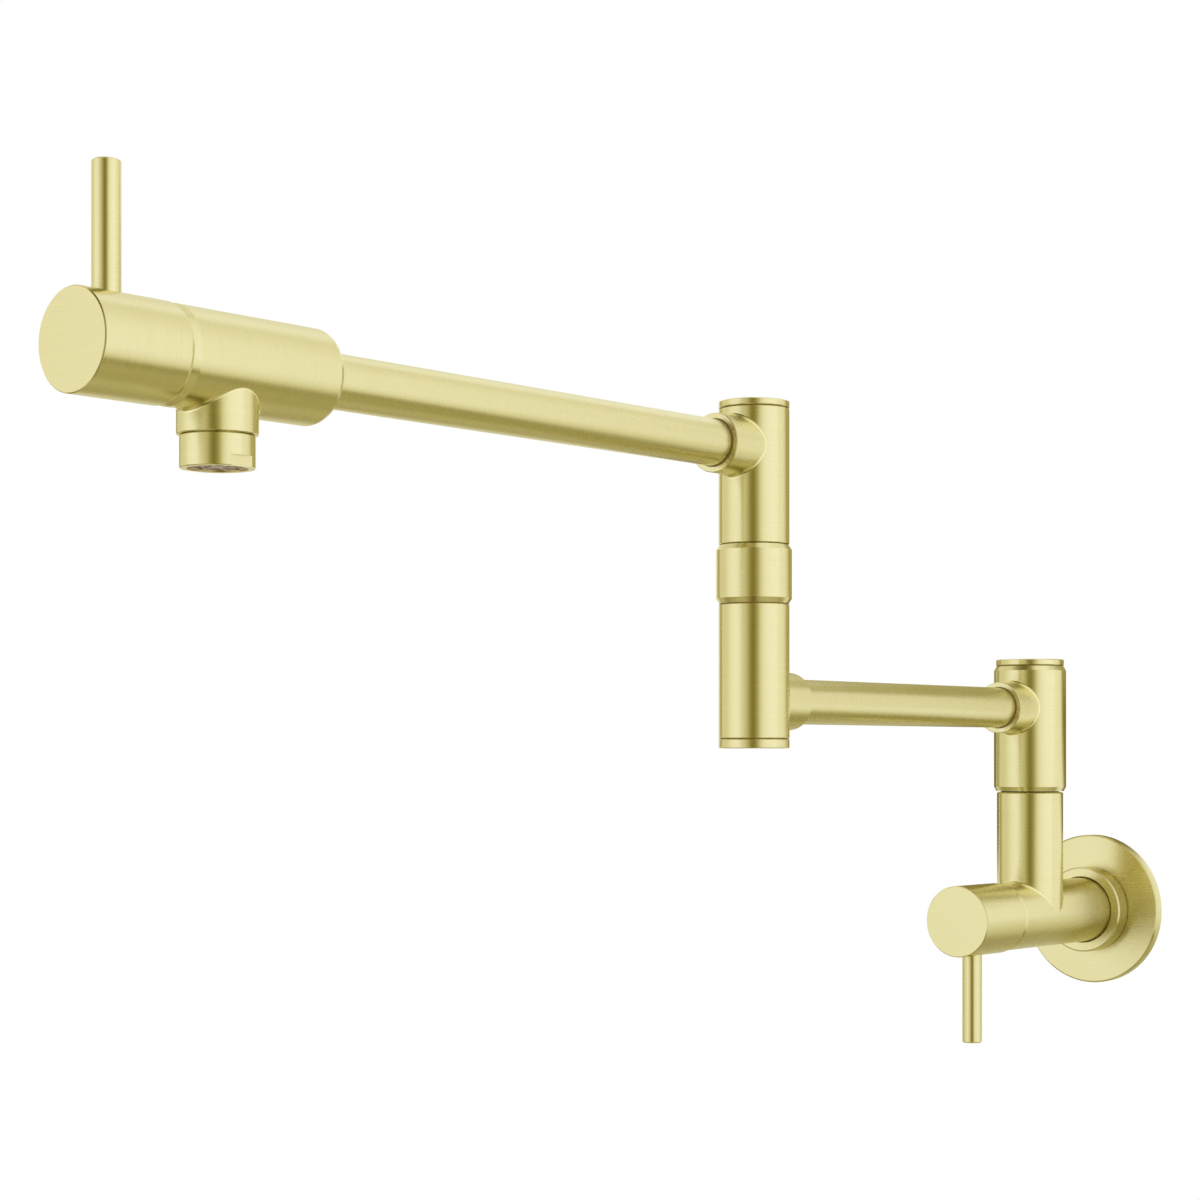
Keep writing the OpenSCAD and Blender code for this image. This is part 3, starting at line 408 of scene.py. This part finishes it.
def make_finishes(finishes):
    """Makes every finish once, before the pieces take theirs."""
    for packed in bpy.data.materials:
        packed.name = "packed_" + packed.name
    rough = finishes.gold_roughness
    past = 0.05 * MM
    # Each row is a name, the axis that the lines run round and the one that they are square to on the
    # end faces. A body with a branch adds the branch's axis, where it crosses, and the trunk's radius.
    for name, *run in (
        ("gold_upright", ALONG_Z, ALONG_Y),
        ("gold_outward", ALONG_Y, ALONG_Z),
        ("gold_valve", ALONG_Y, ALONG_Z, ALONG_Z, (0.0, 0.0, 0.0), BARREL_R + past),
        ("gold_sleeve", ALONG_Z, ALONG_Y, ALONG_Y, (0.0, INNER_Y, 0.0), SLEEVE_R + past),
        ("gold_column", ALONG_Z, ALONG_Y, ALONG_Y, (0.0, OUTER_Y, 0.0), COLUMN_R + past),
        ("gold_head", ALONG_Y, ALONG_Z, ALONG_Z, (0.0, 0.0, ARM_2_Z), HEAD_R + past),
    ):
        brushed_metal(name, finishes.gold, rough, finishes.grain, *run)
    # A fillet is given a paler colour, a painted highlight for the light that it catches, and is smoother
    # than the brushed sides
    pale, palest, smoother = 1.05, 0.97, 0.04
    plain_metal("gold_fillet_painted_highlight", [min(part * pale, palest) for part in finishes.gold], rough - smoother)
    for name, axis in (("brass_upright", ALONG_Z), ("brass_outward", ALONG_Y)):
        brushed_metal(name, finishes.brass, roughness=0.34, grain=0.4, trunk=axis, face=ALONG_X)
    plain_metal("brass_thread", finishes.brass, roughness=0.3)
    plain_metal("steel", finishes.steel, roughness=0.3)
    # Each row is a name, a colour, a roughness, and the scale and depth of the grain
    for name, *stuff in (
        ("ceramic", finishes.ceramic, 0.20, 2400.0, 0.004 * MM),
        ("rubber", finishes.rubber, 0.55, 1500.0, 0.02 * MM),
        # The dark rings are painted shade in the seams and at the bosses' mouths
        ("joint_ring", finishes.joint_ring, 0.60, 1500.0, 0.02 * MM),
        ("foam", finishes.foam, 0.85, 1600.0, 0.12 * MM),
        ("fibre", finishes.fibre, 0.75, 2200.0, 0.04 * MM),
        ("acetal", finishes.acetal, 0.38, 1200.0, 0.01 * MM),
        ("aerator_plastic", finishes.aerator, 0.40, 1200.0, 0.015 * MM),
    ):
        soft_stuff(name, *stuff, cells=name == "foam")


def dress(finishes):
    """Gives the solids of a group their finishes."""
    for name, finish in finishes.items():
        for slot in frame["nodes"][name].material_slots:
            slot.link = "OBJECT"
            slot.material = bpy.data.materials[finish]


def deselect():
    """Leaves nothing selected, because an operator acts on all that is."""
    bpy.ops.object.select_all(action="DESELECT")


def name_piece(name, finish):
    """Names the piece that was just added and gives it its finish."""
    piece = bpy.context.object
    piece.name = name
    piece.data.name = name
    piece.data.materials.clear()
    piece.data.materials.append(bpy.data.materials[finish])
    return piece


def start_edit():
    """Opens the piece that was just added for editing, with all of it selected."""
    bpy.ops.object.mode_set(mode="EDIT")
    bpy.ops.mesh.select_all(action="SELECT")


def end_edit():
    """Turns all faces of that piece outwards and closes it."""
    bpy.ops.mesh.select_all(action="SELECT")
    bpy.ops.mesh.normals_make_consistent(inside=False)
    bpy.ops.object.mode_set(mode="OBJECT")


def smooth(crease):
    """Shades that piece smooth, but for edges that turn by more than crease degrees."""
    bpy.ops.object.shade_smooth_by_angle(angle=math.radians(crease))


# Cross sections of a fillet, points in each one's arc, and how deep the point behind them is sunk
FILLET_TURNS = 144
FILLET_STEPS = 9
FILLET_SUNK = 0.25
# Sides of a ring, the share of its thinner side that each edge rounds off, and the steps of that
RING_SIDES = 120
RING_EDGE = 0.25
RING_EDGE_STEPS = 2
# Steps of the thread in a turn, and how many pitches inside the inlet's end it starts
THREAD_STEPS = 96
THREAD_START = 1.5


def saddle_fillet(name, crossing, trunk, trunk_r, branch, branch_r, radius):
    """The rounded line where a branch comes out of a trunk.

    A ring is added, and its cross sections are set into the corner: an arc that touches both
    cylinders, and one point that is sunk in the metal behind it.
    """
    side = branch.cross(trunk)
    deselect()
    bpy.ops.mesh.primitive_torus_add(
        major_segments=FILLET_TURNS, minor_segments=FILLET_STEPS + 1,
        major_radius=branch_r, minor_radius=radius)
    piece = name_piece(name, "gold_fillet_painted_highlight")
    for index, vertex in enumerate(piece.data.vertices):
        turn, step = divmod(index, FILLET_STEPS + 1)
        angle = math.tau * turn / FILLET_TURNS
        on_arc = step < FILLET_STEPS
        past = radius if on_arc else -FILLET_SUNK * radius
        reach = branch_r + past
        around = trunk * math.cos(angle) + side * math.sin(angle)
        sideways = reach * math.sin(angle)
        out = branch * math.sqrt((trunk_r + past) ** 2 - sideways ** 2)
        vertex.co = crossing + around * reach + out
        if on_arc:
            to_branch = -around
            to_trunk = -(side * sideways + out).normalized()
            vertex.co += to_branch.slerp(to_trunk, step / (FILLET_STEPS - 1)) * radius
    start_edit()
    end_edit()
    smooth(crease=35)
    return piece


def add_shade_ring(name, body, radius, wall, place, axis, shapes):
    """A dark ring of painted shade, standing for the shadow in a seam or at a mouth, with its outer side at
    radius.

    A circle is drawn out along the axis, given a wall that goes inwards, and rounded.
    """
    turn = axis.to_track_quat("Z", "Y").to_euler()
    deselect()
    bpy.ops.mesh.primitive_circle_add(
        vertices=RING_SIDES, radius=radius, location=place + axis * shapes.ring_margin,
        rotation=turn, fill_type="NOTHING")
    piece = name_piece(name, "joint_ring")
    bpy.ops.object.transform_apply(location=True, rotation=True, scale=True)
    start_edit()
    bpy.ops.mesh.extrude_region_move(TRANSFORM_OT_translate={"value": axis * shapes.ring_height})
    end_edit()
    inwards = piece.modifiers.new("Wall", "SOLIDIFY")
    inwards.thickness = wall
    inwards.offset = -1.0
    edge = piece.modifiers.new("Edge", "BEVEL")
    edge.width = min(shapes.ring_height, wall) * RING_EDGE
    edge.segments = RING_EDGE_STEPS
    for modifier in (inwards, edge):
        bpy.ops.object.modifier_apply(modifier=modifier.name)
    smooth(crease=60)
    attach(piece, body)


def inlet_thread(shapes):
    """The thread in the inlet's bore: a triangle that is wound round the bore's axis."""
    inlet = next(mount for mount in frame["record"]["mounts"] if mount["name"] == "inlet")
    bore_r = inlet["dims"]["r_mm"] * MM
    deselect()
    bpy.ops.mesh.primitive_circle_add(
        vertices=3, radius=shapes.thread_height,
        location=(0.0, -THREAD_START * shapes.thread_pitch, bore_r),
        rotation=(0.0, math.radians(90), math.radians(90)), fill_type="NOTHING")
    piece = name_piece("inlet_thread", "brass_thread")
    bpy.ops.object.transform_apply(location=True, rotation=True, scale=True)
    screw = piece.modifiers.new("Thread", "SCREW")
    screw.axis = "Y"
    screw.angle = math.tau
    screw.screw_offset = -shapes.thread_pitch
    screw.iterations = shapes.thread_turns
    screw.steps = screw.render_steps = THREAD_STEPS
    screw.use_merge_vertices = False
    bpy.ops.object.modifier_apply(modifier=screw.name)
    start_edit()
    bpy.ops.mesh.fill_holes(sides=3)
    end_edit()
    smooth(crease=30)
    return piece


class POTFILLER_OT_wall_flange(bpy.types.Operator):
    """Finishes the flange, its ring, its gasket and its grip ring, and adds a dark ring of painted shade in
    its seam
    """
    bl_idname = "potfiller.wall_flange"
    bl_label = "Wall flange"

    def execute(self, context):
        dress({
            "wall_flange": "gold_outward",
            "flange_hub": "gold_outward",
            "wall_gasket": "foam",
            "flange_grip_ring": "rubber",
        })
        # A dark ring paints the shade in the seam between the flange and its ring
        seam = Vector((0.0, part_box("wall_flange")[LOW][Y], 0.0))
        shapes = context.scene.pot_filler_shapes
        add_shade_ring("flange_shade_ring", "wall_valve", half("flange_hub", X) - shapes.ring_depth,
                  shapes.ring_wall, seam, -Vector(ALONG_Y), shapes)
        return {"FINISHED"}


class POTFILLER_OT_valve_body(bpy.types.Operator):
    """Finishes the lower valve body and models its inlet thread and the fillet under its riser"""
    bl_idname = "potfiller.valve_body"
    bl_label = "Valve body"

    def execute(self, context):
        shapes = context.scene.pot_filler_shapes
        dress({"valve_body": "gold_valve"})
        piece = inlet_thread(shapes)
        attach(piece, "wall_valve")
        piece = saddle_fillet(
            "riser_fillet", Vector((0.0, INNER_Y, 0.0)), Vector(ALONG_Y), BARREL_R,
            Vector(ALONG_Z), shapes.riser_radius, shapes.fillet)
        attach(piece, "wall_valve")
        return {"FINISHED"}


class POTFILLER_OT_cartridges(bpy.types.Operator):
    """Finishes both ceramic cartridges"""
    bl_idname = "potfiller.cartridges"
    bl_label = "Cartridges"

    def execute(self, context):
        for end in ("lower", "upper"):
            dress({
                end + "_cartridge_housing": "brass_outward",
                end + "_fibre_washer": "fibre",
                end + "_seat_seal": "rubber",
                end + "_fixed_disc": "ceramic",
                end + "_moving_disc": "ceramic",
                end + "_spindle": "brass_outward",
                end + "_spindle_ring": "rubber",
                end + "_spindle_clip": "steel",
            })
        return {"FINISHED"}


class POTFILLER_OT_knobs(bpy.types.Operator):
    """Finishes both knobs with their levers and grub screws"""
    bl_idname = "potfiller.knobs"
    bl_label = "Knobs and levers"

    def execute(self, context):
        for end in ("lower", "upper"):
            dress({
                end + "_knob": "gold_outward",
                end + "_lever": "gold_upright",
                end + "_grub_screw": "steel",
            })
        return {"FINISHED"}


class POTFILLER_OT_inner_column(bpy.types.Operator):
    """Finishes the inner swivel column and models the fillet round its boss"""
    bl_idname = "potfiller.inner_column"
    bl_label = "Inner column"

    def execute(self, context):
        shapes = context.scene.pot_filler_shapes
        dress({
            "inner_sleeve": "gold_sleeve",
            "inner_cap": "gold_upright",
            "inner_post": "brass_upright",
            "inner_bush": "acetal",
            "inner_post_rings": "rubber",
            "inner_slip_washer": "acetal",
            "inner_retainer": "steel",
        })
        piece = saddle_fillet(
            "inner_boss_fillet", Vector((0.0, INNER_Y, ARM_1_Z)), Vector(ALONG_Z), SLEEVE_R,
            -Vector(ALONG_Y), TUBE_R + shapes.boss_wall, shapes.fillet)
        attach(piece, "first_arm")
        # A dark ring paints the shade in the seam between the sleeve and its cap
        seam = Vector((0.0, INNER_Y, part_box("inner_sleeve")[HIGH][Z]))
        add_shade_ring("inner_shade_ring", "first_arm", half("inner_cap", X) - shapes.ring_depth,
                  shapes.ring_wall, seam, Vector(ALONG_Z), shapes)
        return {"FINISHED"}


class POTFILLER_OT_arm_tubes(bpy.types.Operator):
    """Finishes both arm tubes and the rings that seal them, and adds a dark bead of painted shade round each
    boss's mouth
    """
    bl_idname = "potfiller.arm_tubes"
    bl_label = "Arm tubes"

    def execute(self, context):
        shapes = context.scene.pot_filler_shapes
        for arm in ("arm_1", "arm_2"):
            dress({arm + "_tube": "gold_outward", arm + "_tube_rings": "rubber"})
        # Each dark bead paints the shade where a tube goes into its boss
        for name, body, node, end, way, height in (
            ("inner_boss_shade_bead", "first_arm", "inner_sleeve", LOW, -1.0, ARM_1_Z),
            ("outer_lower_shade_bead", "first_arm", "outer_lower_body", HIGH, 1.0, ARM_1_Z),
            ("outer_upper_shade_bead", "second_arm", "outer_upper_body", LOW, -1.0, ARM_2_Z),
        ):
            out = Vector(ALONG_Y) * way
            mouth = Vector((0.0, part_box(node)[end][Y], height)) - out * shapes.bead_seat
            add_shade_ring(name, body, TUBE_R + shapes.bead, shapes.bead - shapes.bead_gap, mouth, out, shapes)
        return {"FINISHED"}


class POTFILLER_OT_outer_column(bpy.types.Operator):
    """Finishes the outer swivel column and models the fillets round its bosses"""
    bl_idname = "potfiller.outer_column"
    bl_label = "Outer column"

    def execute(self, context):
        shapes = context.scene.pot_filler_shapes
        dress({
            "outer_lower_body": "gold_column",
            "outer_upper_body": "gold_column",
            "outer_collar": "gold_upright",
            "outer_bottom_cap": "gold_upright",
            "outer_top_cap": "gold_upright",
            "outer_post": "brass_upright",
            "outer_bush": "acetal",
            "outer_post_rings": "rubber",
            "outer_slip_washer": "acetal",
            "outer_retainer": "steel",
        })
        for name, height, branch, body in (
            ("outer_lower_fillet", ARM_1_Z, Vector(ALONG_Y), "first_arm"),
            ("outer_upper_fillet", ARM_2_Z, -Vector(ALONG_Y), "second_arm"),
        ):
            piece = saddle_fillet(
                name, Vector((0.0, OUTER_Y, height)), Vector(ALONG_Z), COLUMN_R,
                branch, TUBE_R + shapes.boss_wall, shapes.fillet)
            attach(piece, body)
        lower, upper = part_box("outer_lower_body"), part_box("outer_upper_body")
        # Dark rings paint the shade in the seams at the caps and the collar
        for name, body, height, way in (
            ("bottom_shade_ring", "first_arm", lower[LOW][Z], -1.0),
            ("collar_shade_ring", "first_arm", lower[HIGH][Z], 1.0),
            ("top_shade_ring", "second_arm", upper[HIGH][Z], 1.0),
        ):
            seam = Vector((0.0, OUTER_Y, height))
            add_shade_ring(name, body, COLUMN_R - shapes.ring_depth, shapes.ring_wall, seam,
                      Vector(ALONG_Z) * way, shapes)
        return {"FINISHED"}


class POTFILLER_OT_head(bpy.types.Operator):
    """Finishes the head and models the fillet round its spout stub"""
    bl_idname = "potfiller.head"
    bl_label = "Head"

    def execute(self, context):
        shapes = context.scene.pot_filler_shapes
        dress({"head_body": "gold_head"})
        piece = saddle_fillet(
            "spout_fillet", Vector((0.0, SPOUT_Y, ARM_2_Z)), Vector(ALONG_Y), HEAD_R,
            -Vector(ALONG_Z), shapes.spout_radius, shapes.fillet)
        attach(piece, "second_arm")
        return {"FINISHED"}


class POTFILLER_OT_aerator(bpy.types.Operator):
    """Finishes the aerator"""
    bl_idname = "potfiller.aerator"
    bl_label = "Aerator"

    def execute(self, context):
        dress({
            "aerator_shell": "gold_upright",
            "aerator_insert": "aerator_plastic",
            "aerator_screen": "steel",
            "aerator_washer": "rubber",
        })
        return {"FINISHED"}


# What the metal reflects, as a photographer sets it up with flags and panels. Each pair is a turn in
# degrees from the camera's side, to the right when positive, and how bright the studio is there.
AROUND = (
    (-180, 0.90), (-139, 0.76), (-118, 0.70), (-100, 0.75), (-86, 0.90), (-69, 1.00), (-55, 1.00),
    (-46, 0.86), (-34, 0.72), (-24, 0.55), (-13, 0.27), (-6, 0.20), (0, 0.26), (9, 0.42), (17, 0.72),
    (27, 0.88), (38, 0.96), (55, 1.00), (77, 1.00), (85, 0.90), (100, 0.87), (121, 0.86), (124, 0.70),
    (129, 0.66), (133, 0.86), (139, 1.00), (162, 1.00), (180, 0.90),
)
# From straight down to straight up, in degrees: the share of that brightness that is left there
ABOVE = (
    (-90, 0.52), (-40, 0.49), (-38, 0.38), (-35, 0.22), (-32, 0.31), (-29, 0.62), (-24, 0.84),
    (-16, 0.94), (-8, 1.00), (30, 0.99), (45, 0.96), (90, 0.90),
)
# Flags behind the object draw the dark lines near the edges of upright tubes. The first row is the
# share that they let through at each turn, and the second is how much of them stands at each height.
LOW_FLAGS = (
    (-180, 0.93), (-160, 0.97), (-152, 0.90), (-145, 0.45), (-137, 0.45), (-130, 1.00), (104, 1.00),
    (112, 0.90), (119, 0.76), (127, 0.72), (133, 0.62), (143, 0.60), (152, 0.74), (160, 0.84), (180, 0.93),
)
LOW_FLAGS_REACH = ((-90, 0.00), (-28, 0.00), (-18, 1.00), (12, 1.00), (22, 0.00), (90, 0.00))
# In the same way, a flag high over the camera's left darkens the tops of what runs out of the wall
HIGH_FLAG = ((-180, 1.00), (-95, 1.00), (-75, 0.15), (-25, 0.15), (-10, 1.00), (180, 1.00))
HIGH_FLAG_REACH = ((-90, 0.00), (22, 0.00), (32, 1.00), (90, 1.00))
# Gold reflects dark things warmly: by how many powers more than red the other colours fall
GREEN_LOSS = 0.13
BLUE_LOSS = 1.0
# Toned cards behind the wall's plane. Each row is a name, the distance behind it, the left and the
# right edge, how far the right edge leans out for each metre up, the lower and the upper edge, how
# bright the card is, and how warm.
CARDS = (
    ("low_card", 0.01, -0.30, 0.10, 0.45, 0.02, 0.12, 0.20, 1.6),
    ("wall_card", 0.02, -0.30, 0.10, 0.45, 0.02, 0.36, 0.38, 1.0),
    ("wall_panel", 0.03, -0.48, 0.22, 0.0, -0.01, 0.07, 0.90, 1.0),
)
# Size and middle of the plane that each card is drawn on, and half the width of the card's soft edges
CARD_SIZE = 0.8
CARD_X, CARD_Z = -0.1, 0.1
CARD_SOFTNESS = 0.02
# The share of the floor's radius at which it starts to fade
FLOOR_FADE = 0.45
FLOOR_COLOUR = (0.90, 0.90, 0.89)


def ramp(finish, angle, stops):
    """A number that follows a row of angles and levels."""
    low, high = stops[0][0], stops[-1][0]
    node = finish.add("ShaderNodeValToRGB", {"Fac": finish.fit(angle, math.radians(low), math.radians(high))})
    elements = node.color_ramp.elements
    elements.remove(elements[1])
    elements[0].position = 0.0
    for number, (degrees, level) in enumerate(stops):
        element = elements.new((degrees - low) / (high - low)) if number else elements[0]
        element.color = (level, level, level, 1.0)
    return node.outputs["Color"]


def surround_material(turn):
    """The studio round the object, warmer where it is darker, as gold shows it."""
    finish = Finish("surround")
    spun = finish.add(
        "ShaderNodeVectorRotate", {"Vector": finish.place, "Angle": math.radians(90) - turn},
        rotation_type="Z_AXIS")
    parts = finish.add("ShaderNodeSeparateXYZ", {0: finish.vector("NORMALIZE", spun.outputs[0])})
    around = finish.math("ARCTAN2", parts.outputs["Y"], parts.outputs["X"])
    above = finish.math("ARCSINE", parts.outputs["Z"])
    level = finish.math("MULTIPLY", ramp(finish, around, AROUND), ramp(finish, above, ABOVE))
    for flag, reach in ((LOW_FLAGS, LOW_FLAGS_REACH), (HIGH_FLAG, HIGH_FLAG_REACH)):
        shade = finish.math("SUBTRACT", 1.0, ramp(finish, around, flag))
        shade = finish.math("MULTIPLY", shade, ramp(finish, above, reach))
        level = finish.math("MULTIPLY", level, finish.math("SUBTRACT", 1.0, shade))
    colour = finish.add("ShaderNodeCombineColor", {
        0: level,
        1: finish.math("POWER", level, 1 + GREEN_LOSS),
        2: finish.math("POWER", level, 1 + BLUE_LOSS),
    })
    finish.show(finish.glow(colour.outputs[0]))
    return finish.material


def card_material(name, left, right, lean, bottom, top, tone, warmth):
    """A toned card with soft edges.

    Its right edge leans out by lean for each metre up from the outer arm's height.
    """
    finish = Finish(name)
    parts = finish.add("ShaderNodeSeparateXYZ", {0: finish.place})
    leaning = finish.math("MULTIPLY", finish.math("SUBTRACT", parts.outputs["Z"], ARM_2_Z), lean)
    across = finish.math("SUBTRACT", parts.outputs["X"], leaning)
    share = 1.0
    for value, edge, inwards in (
        (across, right, -CARD_SOFTNESS),
        (parts.outputs["X"], left, CARD_SOFTNESS),
        (parts.outputs["Z"], top, -CARD_SOFTNESS),
        (parts.outputs["Z"], bottom, CARD_SOFTNESS),
    ):
        share = finish.math("MULTIPLY", share, finish.fit(value, edge - inwards, edge + inwards, soft=True))
    glow = finish.glow([tone, tone ** (1 + GREEN_LOSS * warmth), tone ** (1 + BLUE_LOSS * warmth), 1.0])
    finish.show(finish.clear(), glow, share)
    return finish.material


def floor_material(radius):
    """A pale floor that fades out at its rim."""
    finish = Finish("floor")
    grain = finish.noise(finish.place, scale=6.0, detail=2.0)
    finish.set(Base_Color=finish.tone(FLOOR_COLOUR, grain, dark=0.99, light=1.01), Roughness=0.8)
    reach = finish.vector("LENGTH", finish.vector("MULTIPLY", finish.place, (1.0, 1.0, 0.0)))
    fade = finish.fit(reach, radius * FLOOR_FADE, radius, soft=True)
    finish.show(finish.shader.outputs[0], finish.clear(), fade)
    return finish.material


def studio_world(room_light):
    """White where the camera and reflections look, and a plain even light on the object."""
    world = bpy.data.worlds.new("studio")
    world.use_nodes = True
    nodes, links = world.node_tree.nodes, world.node_tree.links
    nodes.clear()
    path = nodes.new("ShaderNodeLightPath")
    seen = path.outputs["Is Camera Ray"]
    for ray in ("Is Glossy Ray", "Is Transmission Ray"):
        either = nodes.new("ShaderNodeMath")
        either.operation = "MAXIMUM"
        links.new(seen, either.inputs[0])
        links.new(path.outputs[ray], either.inputs[1])
        seen = either.outputs[0]
    mix = nodes.new("ShaderNodeMixShader")
    links.new(seen, mix.inputs[0])
    for slot, strength in ((1, room_light), (2, 1.0)):
        background = nodes.new("ShaderNodeBackground")
        background.inputs["Color"].default_value = (1.0, 1.0, 1.0, 1.0)
        background.inputs["Strength"].default_value = strength
        links.new(background.outputs[0], mix.inputs[slot])
    output = nodes.new("ShaderNodeOutputWorld")
    links.new(mix.outputs[0], output.inputs["Surface"])
    return world


def name_added(name, material=None):
    """Names the thing of the stage that was just added and gives it its material."""
    thing = bpy.context.object
    thing.name = name
    if material:
        thing.data.materials.append(material)
    return thing


def reflected_only(thing):
    """Leaves a thing of the stage to reflections alone."""
    thing.visible_camera = False
    thing.visible_diffuse = False
    thing.visible_shadow = False
    thing.visible_transmission = False


def add_camera(context, stage):
    """The camera of the photograph, level, with its view raised by the shift."""
    deselect()
    bpy.ops.object.camera_add(
        location=stage.camera_place, rotation=(math.radians(90), 0.0, stage.camera_turn))
    camera = name_added("camera")
    camera.data.lens = stage.lens
    camera.data.shift_y = stage.shift
    context.scene.camera = camera


def add_floor(stage, target):
    """The floor, which the metal doesn't reflect."""
    deselect()
    bpy.ops.mesh.primitive_circle_add(
        vertices=96, radius=stage.floor_radius, fill_type="NGON",
        location=(0.0, target.y, stage.floor_height))
    floor = name_added("floor", floor_material(stage.floor_radius))
    floor.visible_glossy = False


def add_lamp(stage, target):
    """The soft lamp overhead."""
    deselect()
    bpy.ops.object.light_add(type="AREA", location=(target.x, target.y, target.z + stage.lamp_height))
    lamp = name_added("overhead_lamp")
    lamp.data.shape = "DISK"
    lamp.data.size = stage.lamp_size
    lamp.data.energy = stage.lamp_power
    lamp.visible_glossy = False


def add_reflections(stage, target):
    """What the metal alone sees: the studio all round, and the toned cards at the wall."""
    deselect()
    bpy.ops.mesh.primitive_uv_sphere_add(segments=48, ring_count=24, radius=stage.surround_radius)
    surround = name_added("surround", surround_material(stage.camera_turn))
    surround.location = target
    reflected_only(surround)
    for name, behind, *look in CARDS:
        deselect()
        bpy.ops.mesh.primitive_plane_add(
            size=CARD_SIZE, location=(CARD_X, behind, CARD_Z), rotation=(math.radians(90), 0.0, 0.0))
        bpy.ops.object.transform_apply(location=True, rotation=True, scale=True)
        reflected_only(name_added(name, card_material(name, *look)))


class POTFILLER_OT_stage(bpy.types.Operator):
    """Sets the camera, the floor, the light and what the metal reflects"""
    bl_idname = "potfiller.stage"
    bl_label = "Stage"

    def execute(self, context):
        stage = context.scene.pot_filler_stage
        target = Vector((0.0, *((CAD_BOX[LOW][axis] + CAD_BOX[HIGH][axis]) / 2 for axis in (Y, Z))))
        context.scene.view_settings.view_transform = "Standard"
        context.scene.world = studio_world(stage.room_light)
        add_camera(context, stage)
        add_floor(stage, target)
        add_lamp(stage, target)
        add_reflections(stage, target)
        return {"FINISHED"}


class POTFILLER_PT_sidebar(bpy.types.Panel):
    """Sizes, finishes and pieces of the pot filler"""
    bl_idname = "POTFILLER_PT_sidebar"
    bl_label = "Pot filler"
    bl_space_type = "VIEW_3D"
    bl_region_type = "UI"
    bl_category = "Pot filler"

    def draw(self, context):
        layout = self.layout
        for label, group in (
            ("Shapes", context.scene.pot_filler_shapes),
            ("Finishes", context.scene.pot_filler_finishes),
            ("Stage", context.scene.pot_filler_stage),
        ):
            box = layout.box()
            box.label(text=label)
            for name in group.__annotations__:
                box.prop(group, name)
        box = layout.box()
        box.label(text="Pieces")
        for operator in OPERATORS:
            box.operator(operator.bl_idname)


GROUPS = (PotFillerShapes, PotFillerFinishes, PotFillerStage)
OPERATORS = (
    POTFILLER_OT_stage,
    POTFILLER_OT_wall_flange,
    POTFILLER_OT_valve_body,
    POTFILLER_OT_cartridges,
    POTFILLER_OT_knobs,
    POTFILLER_OT_inner_column,
    POTFILLER_OT_arm_tubes,
    POTFILLER_OT_outer_column,
    POTFILLER_OT_head,
    POTFILLER_OT_aerator,
)
CLASSES = (*GROUPS, *OPERATORS, POTFILLER_PT_sidebar)


def register():
    for cls in CLASSES:
        bpy.utils.register_class(cls)
    bpy.types.Scene.pot_filler_shapes = PointerProperty(type=PotFillerShapes)
    bpy.types.Scene.pot_filler_finishes = PointerProperty(type=PotFillerFinishes)
    bpy.types.Scene.pot_filler_stage = PointerProperty(type=PotFillerStage)


def unregister():
    del bpy.types.Scene.pot_filler_stage
    del bpy.types.Scene.pot_filler_finishes
    del bpy.types.Scene.pot_filler_shapes
    for cls in reversed(CLASSES):
        bpy.utils.unregister_class(cls)


def main():
    """Builds the stage and every piece."""
    register()
    make_finishes(bpy.context.scene.pot_filler_finishes)
    bpy.ops.potfiller.stage()
    bpy.ops.potfiller.wall_flange()
    bpy.ops.potfiller.valve_body()
    bpy.ops.potfiller.cartridges()
    bpy.ops.potfiller.knobs()
    bpy.ops.potfiller.inner_column()
    bpy.ops.potfiller.arm_tubes()
    bpy.ops.potfiller.outer_column()
    bpy.ops.potfiller.head()
    bpy.ops.potfiller.aerator()


if __name__ == "__main__":
    main()
